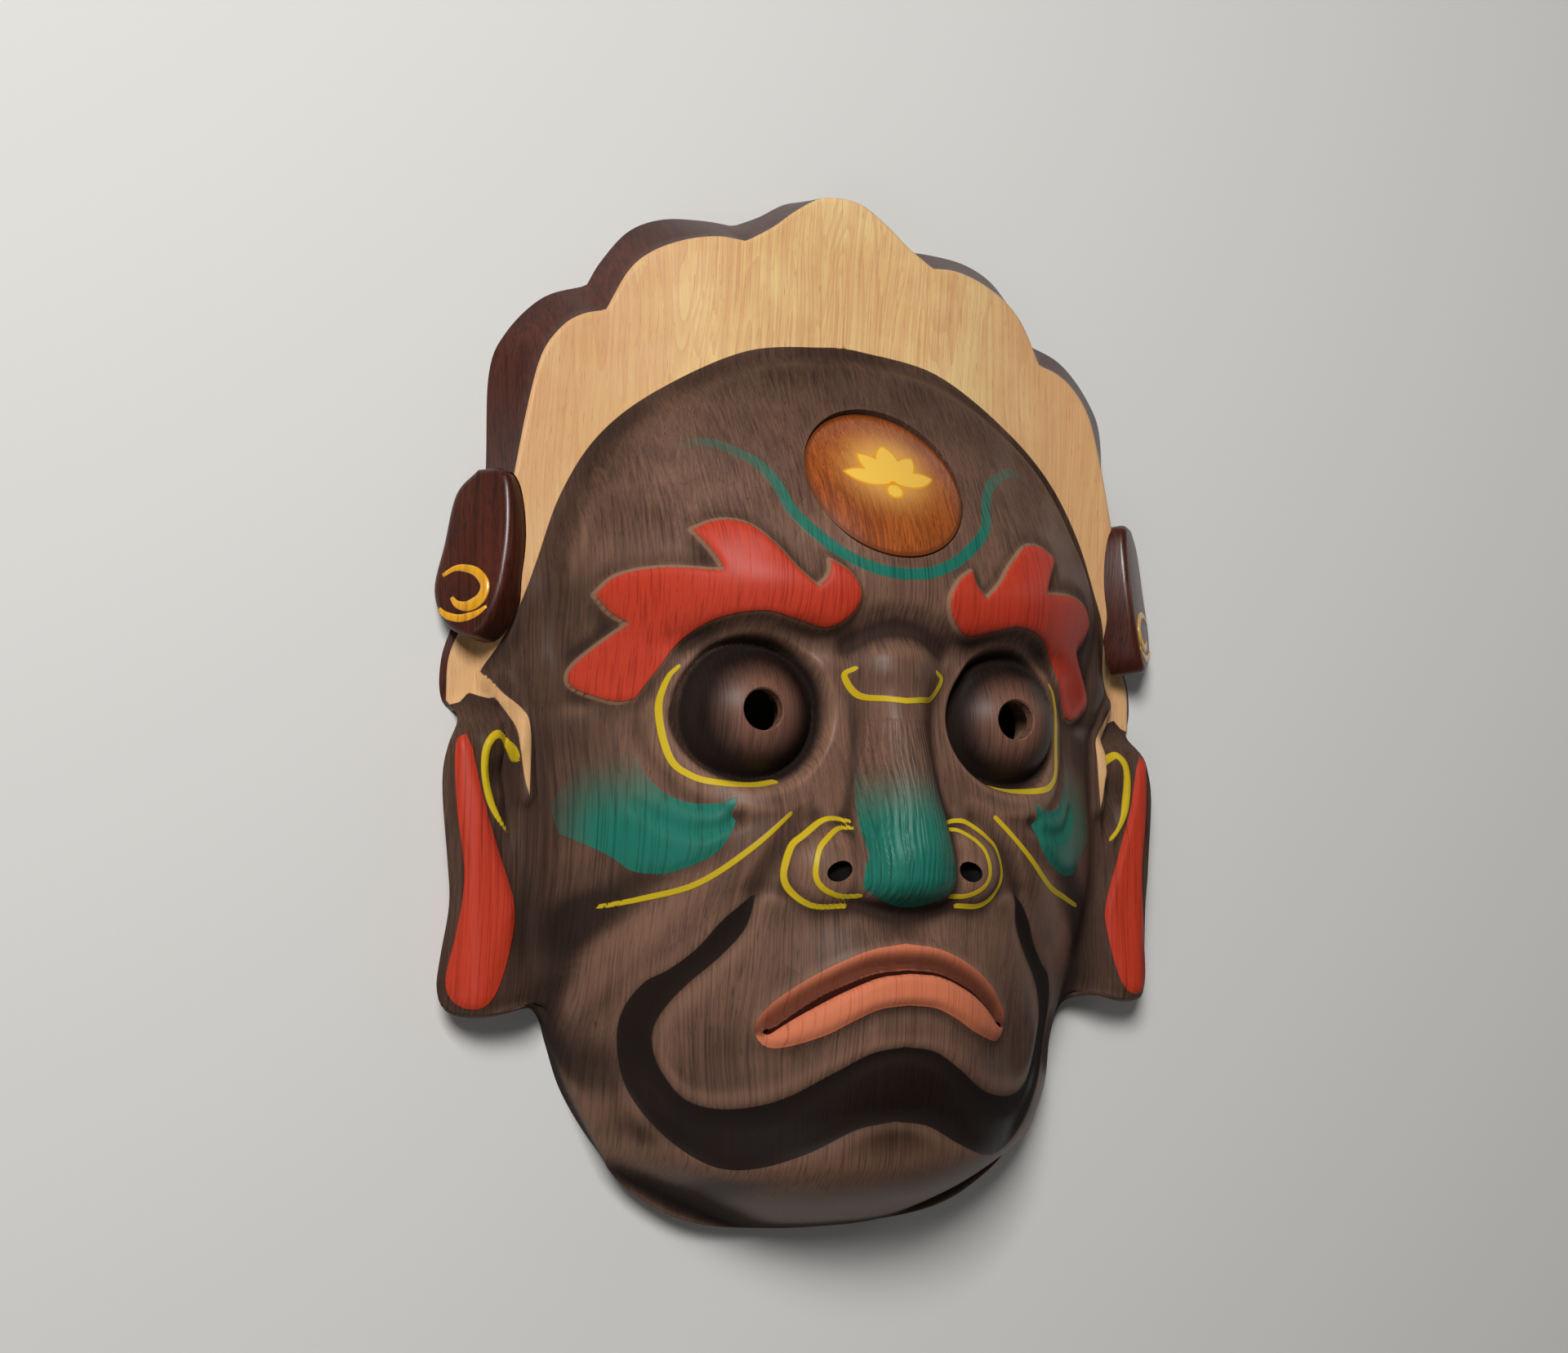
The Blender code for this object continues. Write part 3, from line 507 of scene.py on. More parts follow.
def carvedFace():
    # oak-like hardwood, stained, painted and brushed with satin lacquer: the grain shows through every colour
    mat, shader = newMaterial("stained and painted wood under satin lacquer", 0.5, 0.16)
    fibres, pores, rings, clouds = woodGrain(mat)
    colour = grainTone(mat, fibres, paint["woodDark"], paint["wood"], 0.28, 0.60)
    colour = grainTone(mat, clouds, colour, paint["woodLight"], 0.42, 0.72, 0.5)
    colour = ringLines(mat, rings, colour, paint["woodDark"], 0.3)
    colour = grainTone(mat, pores, paint["woodPore"], colour, 0.18, 0.42)
    # painted shade lies darker towards the chin, the crown and the sides
    darker = grainTone(mat, fibres, paint["hollow"], paint["woodDark"], 0.30, 0.85)
    colour = paintOver(mat, colour, darker, "stain", 0.0, 1.0, 0.9)
    # high places are paler, partly from rubbed wear and partly as painted highlight; deep places get painted
    # shade
    paler = grainTone(mat, fibres, paint["wood"], paint["woodLight"], 0.25, 0.55)
    colour = paintOver(mat, colour, paler, "rubbed", 0.0, 1.0, 0.5)
    colour = paintOver(mat, colour, paint["hollow"], "hollowed", 0.1, 1.3, 0.8)
    ball = grainTone(mat, fibres, paint["woodDark"], paint["ballWarm"], 0.22, 0.58)
    ball = paintOver(mat, ball, paint["ballDark"], "ballShade", 4.5, 13.0, 0.96)
    colour = paintOver(mat, colour, ball, "inBall", -0.3, 0.3)
    # bare pale wood of the crown and the lock
    maple = grainTone(mat, fibres, paint["mapleRed"], paint["maple"], 0.30, 0.55)
    maple = grainTone(mat, clouds, maple, paint["mapleLight"], 0.45, 0.75, 0.7)
    maple = ringLines(mat, rings, maple, paint["mapleRed"], 0.5, 12.0)
    # the pale wood is painted darker and redder towards the temples: painted shade
    maple = paintOver(mat, maple, paint["mapleRed"], "blush", 0.0, 1.0, 0.45)
    maple = grainTone(mat, pores, paint["maplePore"], maple, 0.12, 0.38)
    colour = paintOver(mat, colour, maple, "pale")
    colour = paintOver(mat, colour, paint["lock"], "lock", most=0.3)
    colour = paintOver(mat, colour, paint["band"], "band", most=0.93)
    red = grainTone(mat, fibres, paint["vermilionDark"], paint["vermilion"], 0.22, 0.50)
    red = grainTone(mat, pores, paint["vermilionPore"], red, 0.10, 0.38)
    # a pale line painted on the brow's chamfer, outside the red: painted highlight
    colour = paintOver(mat, colour, paint["edge"], "browLine", 0.0, 0.35, 0.75)
    colour = paintOver(mat, colour, red, "red")
    lips = grainTone(mat, fibres, paint["lipsDark"], paint["lips"], 0.18, 0.48)
    lips = paintOver(mat, lips, paint["lipShade"], "lipShade", 0.0, 1.0, 0.85)
    colour = paintOver(mat, colour, lips, "lips")
    teal = grainTone(mat, fibres, paint["tealDark"], paint["teal"], 0.25, 0.52)
    colour = paintOver(mat, colour, teal, "teal", fade="tealFade")
    colour = paintOver(mat, colour, paint["yellow"], "yellow", most=0.96)
    mat.node_tree.links.new(colour[0].outputs[2], shader.inputs["Base Color"])
    # fibres stand up to 0.05 mm proud, most paint lies a tenth of a millimetre thick
    height = node(mat, "ShaderNodeMath", {0: fibres, 1: 0.05 * mm}, operation="MULTIPLY"), 0
    coats = (("red", -0.2, 0.1, 0.12), ("yellow", -0.2, 0.15, 0.12), ("lips", -0.2, 0.1, 0.1),
             ("teal", -0.2, 0.1, 0.04), ("gouge", -0.5, 0.5, -0.12))
    for region, low, high, lift in coats:
        height = raised(mat, height, region, low, high, lift)
    bump = node(mat, "ShaderNodeBump", {"Strength": 1.0, "Distance": 1.0, "Height": height})
    mat.node_tree.links.new(bump.outputs[0], shader.inputs["Normal"])
    # satin on the high places, matt where the lacquer was wiped out of the cuts
    rough = node(mat, "ShaderNodeMapRange", {0: fibres, 1: 0.3, 2: 0.7, 3: 0.38, 4: 0.48})
    deep = node(mat, "ShaderNodeAttribute", attribute_name="matt")
    matt = node(mat, "ShaderNodeMath", {0: (deep, "Fac"), 1: 0.45, 2: (rough, 0)}, operation="MULTIPLY_ADD")
    mat.node_tree.links.new(matt.outputs[0], shader.inputs["Roughness"])
    return mat


def stainedWood(name, dark, mid, light, roughness, coat, seed=0.3, size=1.0, painted=()):
    # straight-grained wood, stained and lacquered; painted lists what is brushed over it
    mat, shader = newMaterial(name, roughness, 0.3, coat)
    fibres, pores, rings, clouds = woodGrain(mat, seed, size)
    colour = grainTone(mat, fibres, linear(dark), linear(mid), 0.28, 0.60)
    colour = grainTone(mat, clouds, colour, linear(light), 0.45, 0.75, 0.7)
    colour = ringLines(mat, rings, colour, linear(dark), 0.4)
    colour = grainTone(mat, pores, linear(dark), colour, 0.30, 0.42)
    for over, region, low, high, most in painted:
        colour = paintOver(mat, colour, linear(over), region, low, high, most)
    mat.node_tree.links.new(colour[0].outputs[2], shader.inputs["Base Color"])
    height = node(mat, "ShaderNodeMath", {0: fibres, 1: 0.04 * mm}, operation="MULTIPLY")
    bump = node(mat, "ShaderNodeBump", {"Strength": 1.0, "Distance": 1.0, "Height": (height, 0)})
    mat.node_tree.links.new(bump.outputs[0], shader.inputs["Normal"])
    return mat


faceWood = carvedFace()
# A deep red brown, with a soft shine along the wall
sideWood = stainedWood("mahogany stained side under gloss lacquer", "#220D07", "#471D10", "#582817",
                       0.42, 0.06)
# Left as the gouge left it: pale, dry and matt
hollowWood = stainedWood("bare gouged wood of the hollow", "#5C4431", "#8B6B4C", "#A58560",
                         0.7, 0.0, 0.9, 1.3)
# Polished harder than the side, so its rounded edges catch the light
blockWood = stainedWood("mahogany temple block under gloss lacquer", "#240D07", "#451C10", "#522315",
                        0.36, 0.12, 1.7)
# Warm amber with a painted glow at the middle, a dark seam and a gilded flower
amberWood = stainedWood("amber lacquered boss", "#5E290F", "#94491A", "#AC5F26", 0.34, 0.15, 2.3, painted=(
    ("#5A2A10", "seam", 0.0, 1.0, 0.8), ("#D09A4E", "glow", 0.0, 1.0, 0.85),
    ("#C98A1E", "petals", -0.15, 0.15, 1.0), ("#D9B04A", "petals", 0.35, 0.6, 0.85)))
# Black painted shade inside the nostrils, which makes a shallow hole read as a deep one
nostrilShadeBlack = plainPaint("black painted shade inside the bored nostrils", "#0B0807", 0.5)
# Dark red painted shade in the parting, matt, so that it stays dark under the bright lip
lipPartingShade = plainPaint("dark red painted shade in the parting of the lips", "#2A0D08", 0.85, 0.05)
# Thick and glossy, with the brush's streaks in it
goldPaint, goldShader = newMaterial("gold ochre lacquer, brushed on thickly", 0.32, 0.5, 0.5)
goldGrain = woodGrain(goldPaint, 3.1)
goldTone = grainTone(goldPaint, goldGrain[0], linear("#A8690C"), linear("#CE9212"), 0.25, 0.55)
goldPaint.node_tree.links.new(goldTone[0].outputs[2], goldShader.inputs["Base Color"])
print("materials made")


def laidMesh(bm, name, looks):
    # a form as a mesh, laid down with the mask
    bmesh.ops.transform(bm, matrix=lay, verts=bm.verts)
    data = bpy.data.meshes.new(name)
    bm.to_mesh(data)
    bm.free()
    for look in looks:
        data.materials.append(look)
    return data


def place(bm, name, looks):
    # a piece of the mask, smooth but for its sharp edges
    data = laidMesh(bm, name, looks)
    piece = bpy.data.objects.new(name, data)
    bpy.context.scene.collection.objects.link(piece)
    data.shade_smooth()
    data.set_sharp_from_angle(angle=math.radians(40))
    return piece


def toolBody(bm, *looks):
    # a cutting tool, whose look goes on to the cut
    return bpy.data.objects.new("tool", laidMesh(bm, "tool", looks))


def cutAway(piece, tools):
    # cuts the tools out of a piece and keeps the result as its mesh
    box = bpy.data.collections.new("tools")
    bpy.context.scene.collection.children.link(box)
    for tool in tools:
        box.objects.link(tool)
    step = piece.modifiers.new("cut", "BOOLEAN")
    step.operation, step.solver, step.operand_type = "DIFFERENCE", "EXACT", "COLLECTION"
    step.collection, step.material_mode = box, "TRANSFER"
    graph = bpy.context.evaluated_depsgraph_get()
    cut = bpy.data.meshes.new_from_object(piece.evaluated_get(graph), depsgraph=graph)
    piece.modifiers.clear()
    old, piece.data = piece.data, cut
    bpy.data.meshes.remove(old)
    for tool in tools:
        bpy.data.objects.remove(tool, do_unlink=True)
    bpy.data.collections.remove(box)


# The shell
bm = bmesh.new()
rings = shell["faceRows"] + shell["roundRows"] + shell["wallRows"] + 1 + shell["hollowRows"]
bmesh.ops.create_uvsphere(bm, u_segments=shell["columns"], v_segments=rings, radius=1.0)
ringOf = carve(bm)
bm.verts.ensure_lookup_table()
edgeRing = shell["faceRows"] + 2
wallRing = shell["faceRows"] + shell["roundRows"] + shell["wallRows"] + 1
for face in bm.faces:
    # the crown's side wall is stained mahogany, the ears' and the jaw's is part of the face
    far = max(ringOf[v.index] for v in face.verts)
    atCrown = face.calc_center_median().y > 8 * mm
    if far > wallRing:
        face.material_index = 2
    elif far > edgeRing and atCrown:
        face.material_index = 1
carved = [v for v in bm.verts if ringOf[v.index] < shell["faceRows"] - 1]
for k in range(shell["smoothing"]):
    bmesh.ops.smooth_vert(bm, verts=carved, factor=0.5, use_axis_x=False, use_axis_y=False, use_axis_z=True)
# rows crowd together where the jaw meets the lobe and are eased apart
byLobe = [v for v in carved if 66 < abs(v.co.x) / mm < 84 and -70 < v.co.y / mm < -40]
for k in range(shell["lobeSmoothing"]):
    bmesh.ops.smooth_vert(bm, verts=byLobe, factor=0.5, use_axis_x=True, use_axis_y=True, use_axis_z=True)
bmesh.ops.recalc_face_normals(bm, faces=bm.faces)
mask = place(bm, "carvedMask", [faceWood, sideWood, hollowWood, nostrilShadeBlack, lipPartingShade])
print("shell carved", len(mask.data.polygons))

# Seats of the boss and the blocks; the boss is given by its half width and half height
bossSeat = {
    "y": 61.5, "z": 9.0, "lean": -28.5, "wide": 20.0, "high": 22.0, "sink": 2.2, "dome": 4.2, "gap": 0.3,
    "toolLength": 16.0,
}
bossPlace = shiftedBy((0, bossSeat["y"], bossSeat["z"])) @ turnedBy(bossSeat["lean"], "X")
blockSize = {
    "wide": 24.0, "high": 40.5, "thick": 9.0, "edge": 1.8, "turn": 45.0, "tip": -4.5,
    "x": 89.3, "y": 44.0, "z": -20.0,
}


def drill(radius, depth, where, turn=0.0, squeeze=1.0, radius2=None, tilt=0.0):
    # a round bit, or a tapered one with a second radius, or an oval one with a squeeze
    bm = bmesh.new()
    bmesh.ops.create_cone(bm, cap_ends=True, segments=48, radius1=radius * mm,
                          radius2=(radius2 or radius) * mm, depth=depth * mm)
    bmesh.ops.scale(bm, verts=bm.verts, vec=(squeeze, 1.0, 1.0))
    spot = shiftedBy(where) @ turnedBy(turn, "X") @ turnedBy(tilt, "Z")
    bmesh.ops.transform(bm, matrix=spot, verts=bm.verts)
    return bm


def bar(way, radii):
    # a round bar along a way, both in millimetres
    path = bpy.data.curves.new("way", "CURVE")
    path.dimensions, path.bevel_depth, path.bevel_resolution, path.use_fill_caps = "3D", mm, 4, True
    spline = path.splines.new("POLY")
    spline.points.add(len(way) - 1)
    for point, where, radius in zip(spline.points, way, radii):
        point.co = [c * mm for c in where] + [1.0]
        point.radius = radius
    holder = bpy.data.objects.new("way", path)
    bpy.context.scene.collection.objects.link(holder)
    bpy.context.view_layer.update()
    made = bpy.data.meshes.new_from_object(holder.evaluated_get(bpy.context.evaluated_depsgraph_get()))
    bpy.data.objects.remove(holder, do_unlink=True)
    bm = bmesh.new()
    bm.from_mesh(made)
    bmesh.ops.remove_doubles(bm, verts=bm.verts, dist=0.01 * mm)
    bmesh.ops.recalc_face_normals(bm, faces=bm.faces)
    return bm


def slitTool():
    # follows the parting of the lips, thinner towards the corners of the mouth
    way = np.vstack([(slit * (-1, 1))[::-1][:-1], slit])
    level = front(np.abs(way[:, 0]), way[:, 1] - 1.4) - 1.7
    radii = 1.25 - 0.6 * blend(18, 29, np.abs(way[:, 0]))
    return bar(np.column_stack([way[:, 0], way[:, 1] + 0.35, level]), radii)


tools = []
for sign in (1, -1):
    # behind each eye a cup, through it the pupil with a turned edge, and the nostril beside the nose, its
    # walls black with painted shade
    ex, ey = sign * eye["x"], eye["y"]
    cup = (ex, ey, eye["rise"] - eye["lens"] - 15)
    tools.append(toolBody(drill(eye["thin"] * 1.3, 30, cup, radius2=eye["thin"]), hollowWood))
    tools.append(toolBody(drill(eye["pupil"], 80, (ex, ey, 0))))
    tools.append(toolBody(drill(eye["pupil"], 2.0, (ex, ey, 14.25), radius2=eye["pupil"] + 1.6)))
    tools.append(toolBody(drill(1.8, 12, (sign * 16.5, -30.4, 19.5), 38, 1.7, tilt=sign * -14), nostrilShadeBlack))
# the parting of the lips takes the dark red painted shade
tools.append(toolBody(slitTool(), lipPartingShade))
bm = bmesh.new()
bmesh.ops.create_cone(bm, cap_ends=True, segments=96, radius1=1.0, radius2=1.0, depth=1.0)
gap, below = bossSeat["gap"], bossSeat["sink"] + bossSeat["gap"]
size = (bossSeat["wide"] + gap, bossSeat["high"] + gap, bossSeat["toolLength"] + below)
bmesh.ops.scale(bm, verts=bm.verts, vec=[c * mm for c in size])
bmesh.ops.translate(bm, verts=bm.verts, vec=(0, 0, (bossSeat["toolLength"] - below) / 2 * mm))
bmesh.ops.transform(bm, matrix=bossPlace, verts=bm.verts)
tools.append(toolBody(bm))

# Outline of a temple block, in shares of its width and height
shield = curve([[(-0.14, 0.50), (0.12, 0.49), (0.25, 0.39), (0.29, 0.05), (0.20, -0.30), (-0.04, -0.49),
                 (-0.38, -0.43), (-0.56, -0.22), (-0.48, 0.06), (-0.38, 0.36), (-0.14, 0.50)]], 6)[:-1]


def blockPlace(sign):
    return (shiftedBy((sign * blockSize["x"], blockSize["y"], blockSize["z"]))
            @ turnedBy(sign * blockSize["turn"], "Y") @ turnedBy(blockSize["tip"], "X"))


def blockBody(sign, grow):
    # one block, or with grow the tool that cuts its seat
    bm = bmesh.new()
    wide, high = blockSize["wide"] + 2 * grow, blockSize["high"] + 2 * grow
    ring = [bm.verts.new((-sign * sx * wide * mm, sy * high * mm, 0)) for sx, sy in shield]
    made = bmesh.ops.extrude_face_region(bm, geom=[bm.faces.new(ring)])
    lift = [v for v in made["geom"] if isinstance(v, bmesh.types.BMVert)]
    bmesh.ops.translate(bm, verts=lift, vec=(0, 0, (blockSize["thick"] + grow) * mm))
    bmesh.ops.recalc_face_normals(bm, faces=bm.faces)
    if grow == 0:
        faceEdges = [e for e in bm.edges if all(v.co.z > blockSize["thick"] * 0.9 * mm for v in e.verts)]
        bmesh.ops.bevel(bm, geom=faceEdges, offset=blockSize["edge"] * mm, segments=5, affect="EDGES",
                        profile=0.5, material=-1)
    bmesh.ops.translate(bm, verts=bm.verts, vec=(0, 0, -(blockSize["thick"] + grow) * mm))
    bmesh.ops.transform(bm, matrix=blockPlace(sign), verts=bm.verts)
    return bm


for sign in (1, -1):
    tools.append(toolBody(blockBody(sign, 0.3)))
cutAway(mask, tools)
print("holes and seats cut", len(mask.data.polygons))

# Painted regions, as distances in millimetres kept on the mesh
points = np.zeros(len(mask.data.vertices) * 3)
mask.data.vertices.foreach_get("co", points)
points = points.reshape(-1, 3)
turned = np.array(lay.inverted())
points = (points @ turned[:3, :3].T + turned[:3, 3]) / mm
px, py = np.abs(points[:, 0]), points[:, 1]


def keep(name, values, data=None):
    made = (data or mask.data).attributes.new(name, "FLOAT", "POINT")
    made.data.foreach_set("value", np.asarray(values, np.float32))


fromEye = np.hypot(px - eye["x"], py - eye["y"])
inBrow, inLobe = within(px, py, brow), within(px, py, lobe)
keep("red", np.maximum(inBrow, inLobe))
# the brow's chamfer, away from the eye, takes a painted highlight
keep("browLine", np.where(inBrow < 0, 0.95 + inBrow, 0.0) * blend(24, 29, fromEye))
keep("lips", within(px, py, lips))
slitY = np.interp(px, slit[:, 0], slit[:, 1])
keep("lipShade", (1 - blend(0.3, 7.5, beside(px, py, slit, reach=9))) * blend(-0.4, 0.4, py - slitY))
keep("band", within(px, py, band))
hairline = np.vstack([[(0, 200), (0, 101)], faceEdge,
                      [(83.5, 10), (89.3, 12), (91.4, 9.6), (99, 7.4), (200, 7), (200, 200)]])
hangingLock = curve([
    [(87, 17), (82.6, 11.6), (78.4, 7.4), (76.8, 2.8), (77.1, -13.2)],
    [(77.1, -13.2), (78.2, -8.6), (79.3, -2), (80.2, 4.6), (83.5, 10), (87, 17)],
])
lockArea = within(px, py, hangingLock)
keep("pale", np.maximum(within(px, py, hairline), lockArea))
keep("lock", lockArea - 3.0 * blend(8, 13, py))
foreheadLine = stroke(px, py, [(46.5, 69.5), (40.3, 70), (31.5, 65), (27.5, 59), (24.5, 51), (16, 43),
                               (7.5, 38.8), (0, 37.8)], 1.35, (0.8, 1.0))
nosePatch = curve([[(9.2, 4), (10.4, -8), (11.2, -20), (10.6, -27)], [(10.6, -27), (11.4, -30), (11.6, -34)],
                   [(11.6, -34), (7.5, -36.6), (3.5, -38), (0, -38.4)]])
nosePatch = np.vstack([nosePatch, nosePatch[::-1] * (-1, 1)])
inCheek, inNose = within(px, py, cheekPatch), within(px, py, nosePatch)
keep("teal", np.maximum(np.maximum(inCheek, inNose), foreheadLine))
# the teal is rubbed thin towards the eyes, the nose's root and the temples
fade = np.where(inCheek > -1, blend(0, -19, py + 0.25 * (px - 55)) * (0.2 + 0.8 * blend(74, 63, px)), 1.0)
fade = np.where(inNose > -1, blend(-5, -21, py), fade)
fade = np.where(foreheadLine > -1, blend(48, 38, px) * 0.35 + 0.6 * blend(38, 20, px) + 0.05, fade)
keep("tealFade", fade)
# brushed lines below the eye, over the cheek, over the nose's root, round the wings and in the ear
yellow = [
    stroke(px, py, [(48.6, 16.2), (50.8, 13.3), (52.3, 6.5), (50.5, -4.6), (46.9, -8.8), (42, -10.5),
                    (33.5, -10.9), (27.8, -10)], 0.75, (0.55, 0.7)),
    stroke(px, py, [(26, -17.5), (35.1, -25.5), (45.3, -33.2), (55.1, -36.4), (63, -38.3)],
           0.66, (0.75, 0.8)),
    stroke(px, py, [(10.5, 16), (12.5, 14.3), (9.3, 9.8), (4, 8.8), (0, 8.4)], 0.65, (0.8, 1.0)),
    stroke(px, py, [(12.6, -19.0), (15.4, -18.4), (18.7, -19), (23.5, -22.4), (26.2, -25.1), (27.7, -31.1),
                    (25.7, -35.2), (21, -38.1), (14, -38.1)], 0.62, (0.7, 0.9)),
    stroke(px, py, [(12.2, -20.6), (15.5, -20.8), (19.6, -23.8), (21.3, -26.5), (22, -31.1), (20.2, -34.1),
                    (16, -35.9), (11.3, -35.9)], 0.58, (0.7, 0.9)),
    stroke(px, py, [tuple(p) for p in earCurl[::8]], 0.95, (0.7, 0.4)),
]
keep("yellow", np.max(yellow, axis=0))
# painted shade: darker towards the chin, the forehead's top and the sides, on the cheeks and between the
# eyes, a little lighter on the forehead
keep("stain", 0.9 * blend(-62, -90, py) + 0.6 * blend(56, 92, py) * (px < 75) + 0.65 * blend(44, 74, px)
     + 0.6 * hill(px, py, (33, -30), (15, 12)) + 0.2 * hill(px, py, (0, 5), (9, 22))
     - 0.15 * hill(px, py, (26, 55), (16, 14)))
# painted shade on the crown's sides, growing towards the temples
keep("blush", blend(22, 66, px))
# long gouge cuts down the nose
keep("gouge", np.where(inNose > 0, np.sin(px * 5.2 + 1.4 * np.sin(py * 0.35) + np.sin(px * 1.7)), -1.0) * 0.5)
pairs = np.zeros(len(mask.data.edges) * 2, int)
mask.data.edges.foreach_get("vertices", pairs)
pairs = pairs.reshape(-1, 2)
count = np.bincount(pairs.ravel(), minlength=len(px)).astype(float)


def smoothed(values, times):
    # each point takes the mean of its neighbours, times over
    first, second = pairs[:, 0], pairs[:, 1]
    for k in range(times):
        total = np.bincount(first, values[second], len(px)) + np.bincount(second, values[first], len(px))
        values = total / count
    return values


# points over their neighbours are painted paler, partly as rubbed wear and partly as painted highlight; those
# under them get painted shade and stay matt
pz = points[:, 2]
close, wide = smoothed(pz, 6), smoothed(pz, 80)
lower = blend(62, 44, py) * blend(74, 66, px)
keep("rubbed", smoothed(np.clip((pz - close) * 5.0, 0, 1), 2) * (0.15 + 0.85 * lower))
deep = smoothed(np.clip((wide - pz) * 0.5 - 0.15, 0, 1), 6) * (0.4 + 0.6 * lower)
deep = deep * (0.3 + 0.7 * blend(-84, -70, py))
keep("hollowed", smoothed(np.clip((close - pz) * 4.0, 0, 1), 3) * (0.5 + 0.5 * lower) + 0.85 * deep)
keep("matt", np.clip(smoothed(np.clip((close - pz) * 8.0, 0, 1), 4) * 2.5 + deep, 0, 1))
keep("ballShade", np.minimum(fromEye, eye["ball"]))
keep("inBall", eye["ball"] - 0.4 - fromEye)
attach(mask, "root")
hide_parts("mask_shell")
print("paint marked out")

# The boss: a shallow dome in its seat
bossMesh = {"around": 240, "rows": 144}
bm = bmesh.new()
bmesh.ops.create_uvsphere(bm, u_segments=bossMesh["around"], v_segments=bossMesh["rows"], radius=1.0)
for v in bm.verts:
    if v.co.z < 0.01:
        flat = 1.0 if v.co.z > -0.01 else math.hypot(v.co.x, v.co.y)
        level = -bossSeat["sink"] if v.co.z < -0.01 else 0.0
        far = max(math.hypot(v.co.x, v.co.y), 1e-6)
        v.co = (v.co.x / far * flat * bossSeat["wide"], v.co.y / far * flat * bossSeat["high"], level)
    else:
        v.co = (v.co.x * bossSeat["wide"], v.co.y * bossSeat["high"], v.co.z ** 2 * bossSeat["dome"])
flatPlace = np.array([v.co[:2] for v in bm.verts])
bmesh.ops.scale(bm, verts=bm.verts, vec=(mm, mm, mm))
bmesh.ops.transform(bm, matrix=bossPlace, verts=bm.verts)
bmesh.ops.recalc_face_normals(bm, faces=bm.faces)
boss = place(bm, "foreheadBoss", [amberWood])


def petal(x, y, turn, reach, wide, base=(0.0, -3.6)):
    # distance inside a pointed petal that stands on the base and leans by turn degrees
    c, s = math.cos(math.radians(turn)), math.sin(math.radians(turn))
    u, v = (x - base[0]) * c - (y - base[1]) * s, (x - base[0]) * s + (y - base[1]) * c
    radius = (reach ** 2 / 4 + wide ** 2 / 4) / wide
    return radius - np.hypot(np.abs(u) + radius - wide / 2, v - reach / 2)


fx, fy = flatPlace[:, 0], flatPlace[:, 1]
petals = ((0, 12.5, 6.6), (38, 12.0, 5.6), (-38, 12.0, 5.6), (72, 12.5, 5.0), (-72, 12.5, 5.0),
          (180, 4.2, 4.6))
lotus = np.max([petal(fx, fy, turn, reach, wide) for turn, reach, wide in petals], axis=0)
keep("petals", np.where(fx * fx + fy * fy < 200, lotus, -5.0), boss.data)
far = np.hypot(fx / bossSeat["wide"], fy / bossSeat["high"])
# painted glow: the amber is painted paler towards the dome's middle
keep("glow", 1 - blend(0.0, 1.0, np.hypot(fx / 19.0, (fy - 1.0) / 19.0)), boss.data)
keep("seam", blend(0.93, 0.99, far), boss.data)
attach(boss, "root")
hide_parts("forehead_boss")
print("boss made")

# Temple blocks, each with two thick brush strokes of gold
scrolls = [
    ([(-10.6, -5.4), (-7.6, -4.0), (-4.8, -4.0), (-1.3, -5.3), (1.1, -8.4), (0.1, -11.6), (-3.1, -13.2),
      (-6.1, -12.6), (-7.8, -10.9)], (0.5, 1.1, 1.5, 0.5)),
    ([(-11.0, -13.4), (-9.6, -14.6), (-8.0, -15.4), (-4.9, -16.0), (-1.0, -15.2), (1.9, -13.5)],
     (0.5, 0.9, 1.0, 0.4)),
]
floorCutter = {"size": (0.3, 0.4, 0.02), "middle": (0, 0, -0.0097)}

for label, sign in (("Left", 1), ("Right", -1)):
    block = place(blockBody(sign, 0), "templeBlock" + label, [blockWood, goldPaint])
    # what would hang below the floor is cut off
    bm = bmesh.new()
    bmesh.ops.create_cube(bm, size=1.0)
    bmesh.ops.scale(bm, verts=bm.verts, vec=floorCutter["size"])
    bmesh.ops.translate(bm, verts=bm.verts, vec=floorCutter["middle"])
    bmesh.ops.transform(bm, matrix=lay.inverted(), verts=bm.verts)
    cutAway(block, [toolBody(bm)])
    whole = bmesh.new()
    whole.from_mesh(block.data)
    for route, widths in scrolls:
        # a bar sunk half way into the block and pressed flat
        line = curve([route], 5)
        half = np.interp(np.linspace(0, 1, len(line)), (0.0, 0.35, 0.7, 1.0), widths)
        bm = bar(np.column_stack([-sign * line[:, 0], line[:, 1], 0 * half]), half)
        for face in bm.faces:
            face.material_index, face.smooth = 1, True
        pressed = Matrix.Diagonal((1, 1, 0.35, 1))
        bmesh.ops.transform(bm, matrix=lay @ blockPlace(sign) @ pressed, verts=bm.verts)
        stroked = bpy.data.meshes.new("stroke")
        bm.to_mesh(stroked)
        bm.free()
        whole.from_mesh(stroked)
        bpy.data.meshes.remove(stroked)
    whole.to_mesh(block.data)
    whole.free()
    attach(block, "root")
    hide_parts("temple_block_" + label.lower())
print("temple blocks made")

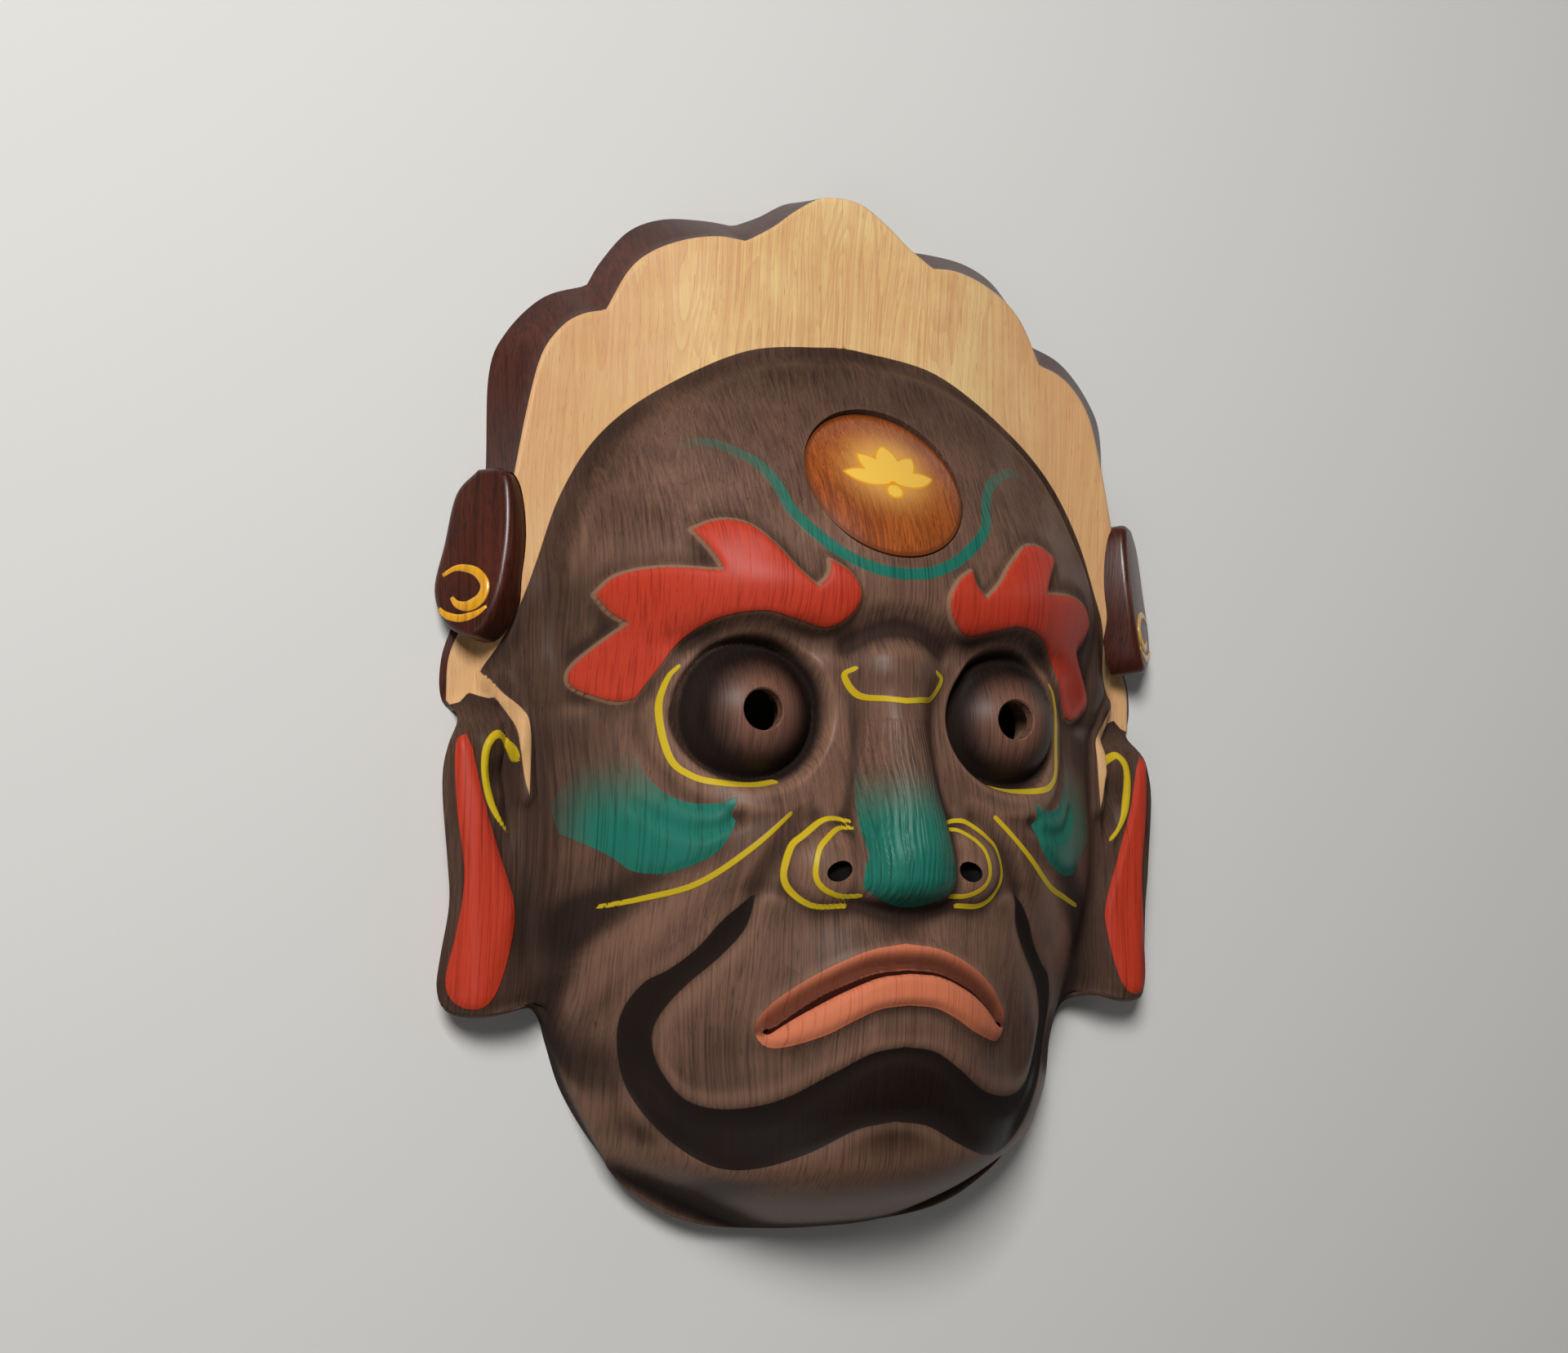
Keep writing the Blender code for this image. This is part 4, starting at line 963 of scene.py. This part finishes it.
# Floor, lights and camera
studio = {"floor": 3.0, "floorColour": "#C6C4C0", "sky": "#C9CDD2", "skyStrength": 0.07, "aim": (0, 0, 0.03)}
lamps = {
    "key": {"watts": 12.5, "size": 0.32, "where": (-0.42, 0.44, 0.86)},
    "rimRight": {"watts": 0.6, "size": 0.08, "where": (0.75, 0.25, 0.28), "tall": 0.9},
    "fill": {"watts": 1.6, "size": 0.9, "where": (-0.6, -0.65, 0.7)},
}
bm = bmesh.new()
bmesh.ops.create_grid(bm, x_segments=1, y_segments=1, size=studio["floor"] / 2)
floorMesh = bpy.data.meshes.new("floor")
bm.to_mesh(floorMesh)
bm.free()
floorObject = bpy.data.objects.new("floor", floorMesh)
bpy.context.scene.collection.objects.link(floorObject)
floorMesh.materials.append(plainPaint("matt painted board", studio["floorColour"], 0.85))


def lamp(name, watts, size, where, tall=None):
    # a soft square lamp, or an upright strip, turned towards the mask
    data = bpy.data.lights.new(name, "AREA")
    data.energy, data.size = watts, size
    if tall:
        data.shape, data.size_y = "RECTANGLE", tall
    made = bpy.data.objects.new(name, data)
    bpy.context.scene.collection.objects.link(made)
    made.location = where
    made.rotation_mode = "QUATERNION"
    made.rotation_quaternion = (Vector(where) - Vector(studio["aim"])).to_track_quat("Z", "Y")


for name, facts in lamps.items():
    lamp(name, **facts)
world = bpy.data.worlds.new("studio")
world.use_nodes = True
world.node_tree.nodes["Background"].inputs[0].default_value = linear(studio["sky"])
world.node_tree.nodes["Background"].inputs[1].default_value = studio["skyStrength"]
bpy.context.scene.world = world

# The photograph's view, with the mask laid on its back: the camera looks down on it
view = {"lens": 41.25, "yawDeg": 22.446, "pitchDeg": -7.0254, "shift": (20.256, -16.164, -427.6)}
seen = shiftedBy(view["shift"]) @ turnedBy(view["pitchDeg"], "X") @ turnedBy(view["yawDeg"], "Y")
cameraData = bpy.data.cameras.new("camera")
cameraData.lens, cameraData.sensor_width = view["lens"], 36.0
camera = bpy.data.objects.new("camera", cameraData)
bpy.context.scene.collection.objects.link(camera)
camera.matrix_world = lay @ seen.inverted()
bpy.context.scene.camera = camera
print("studio set")
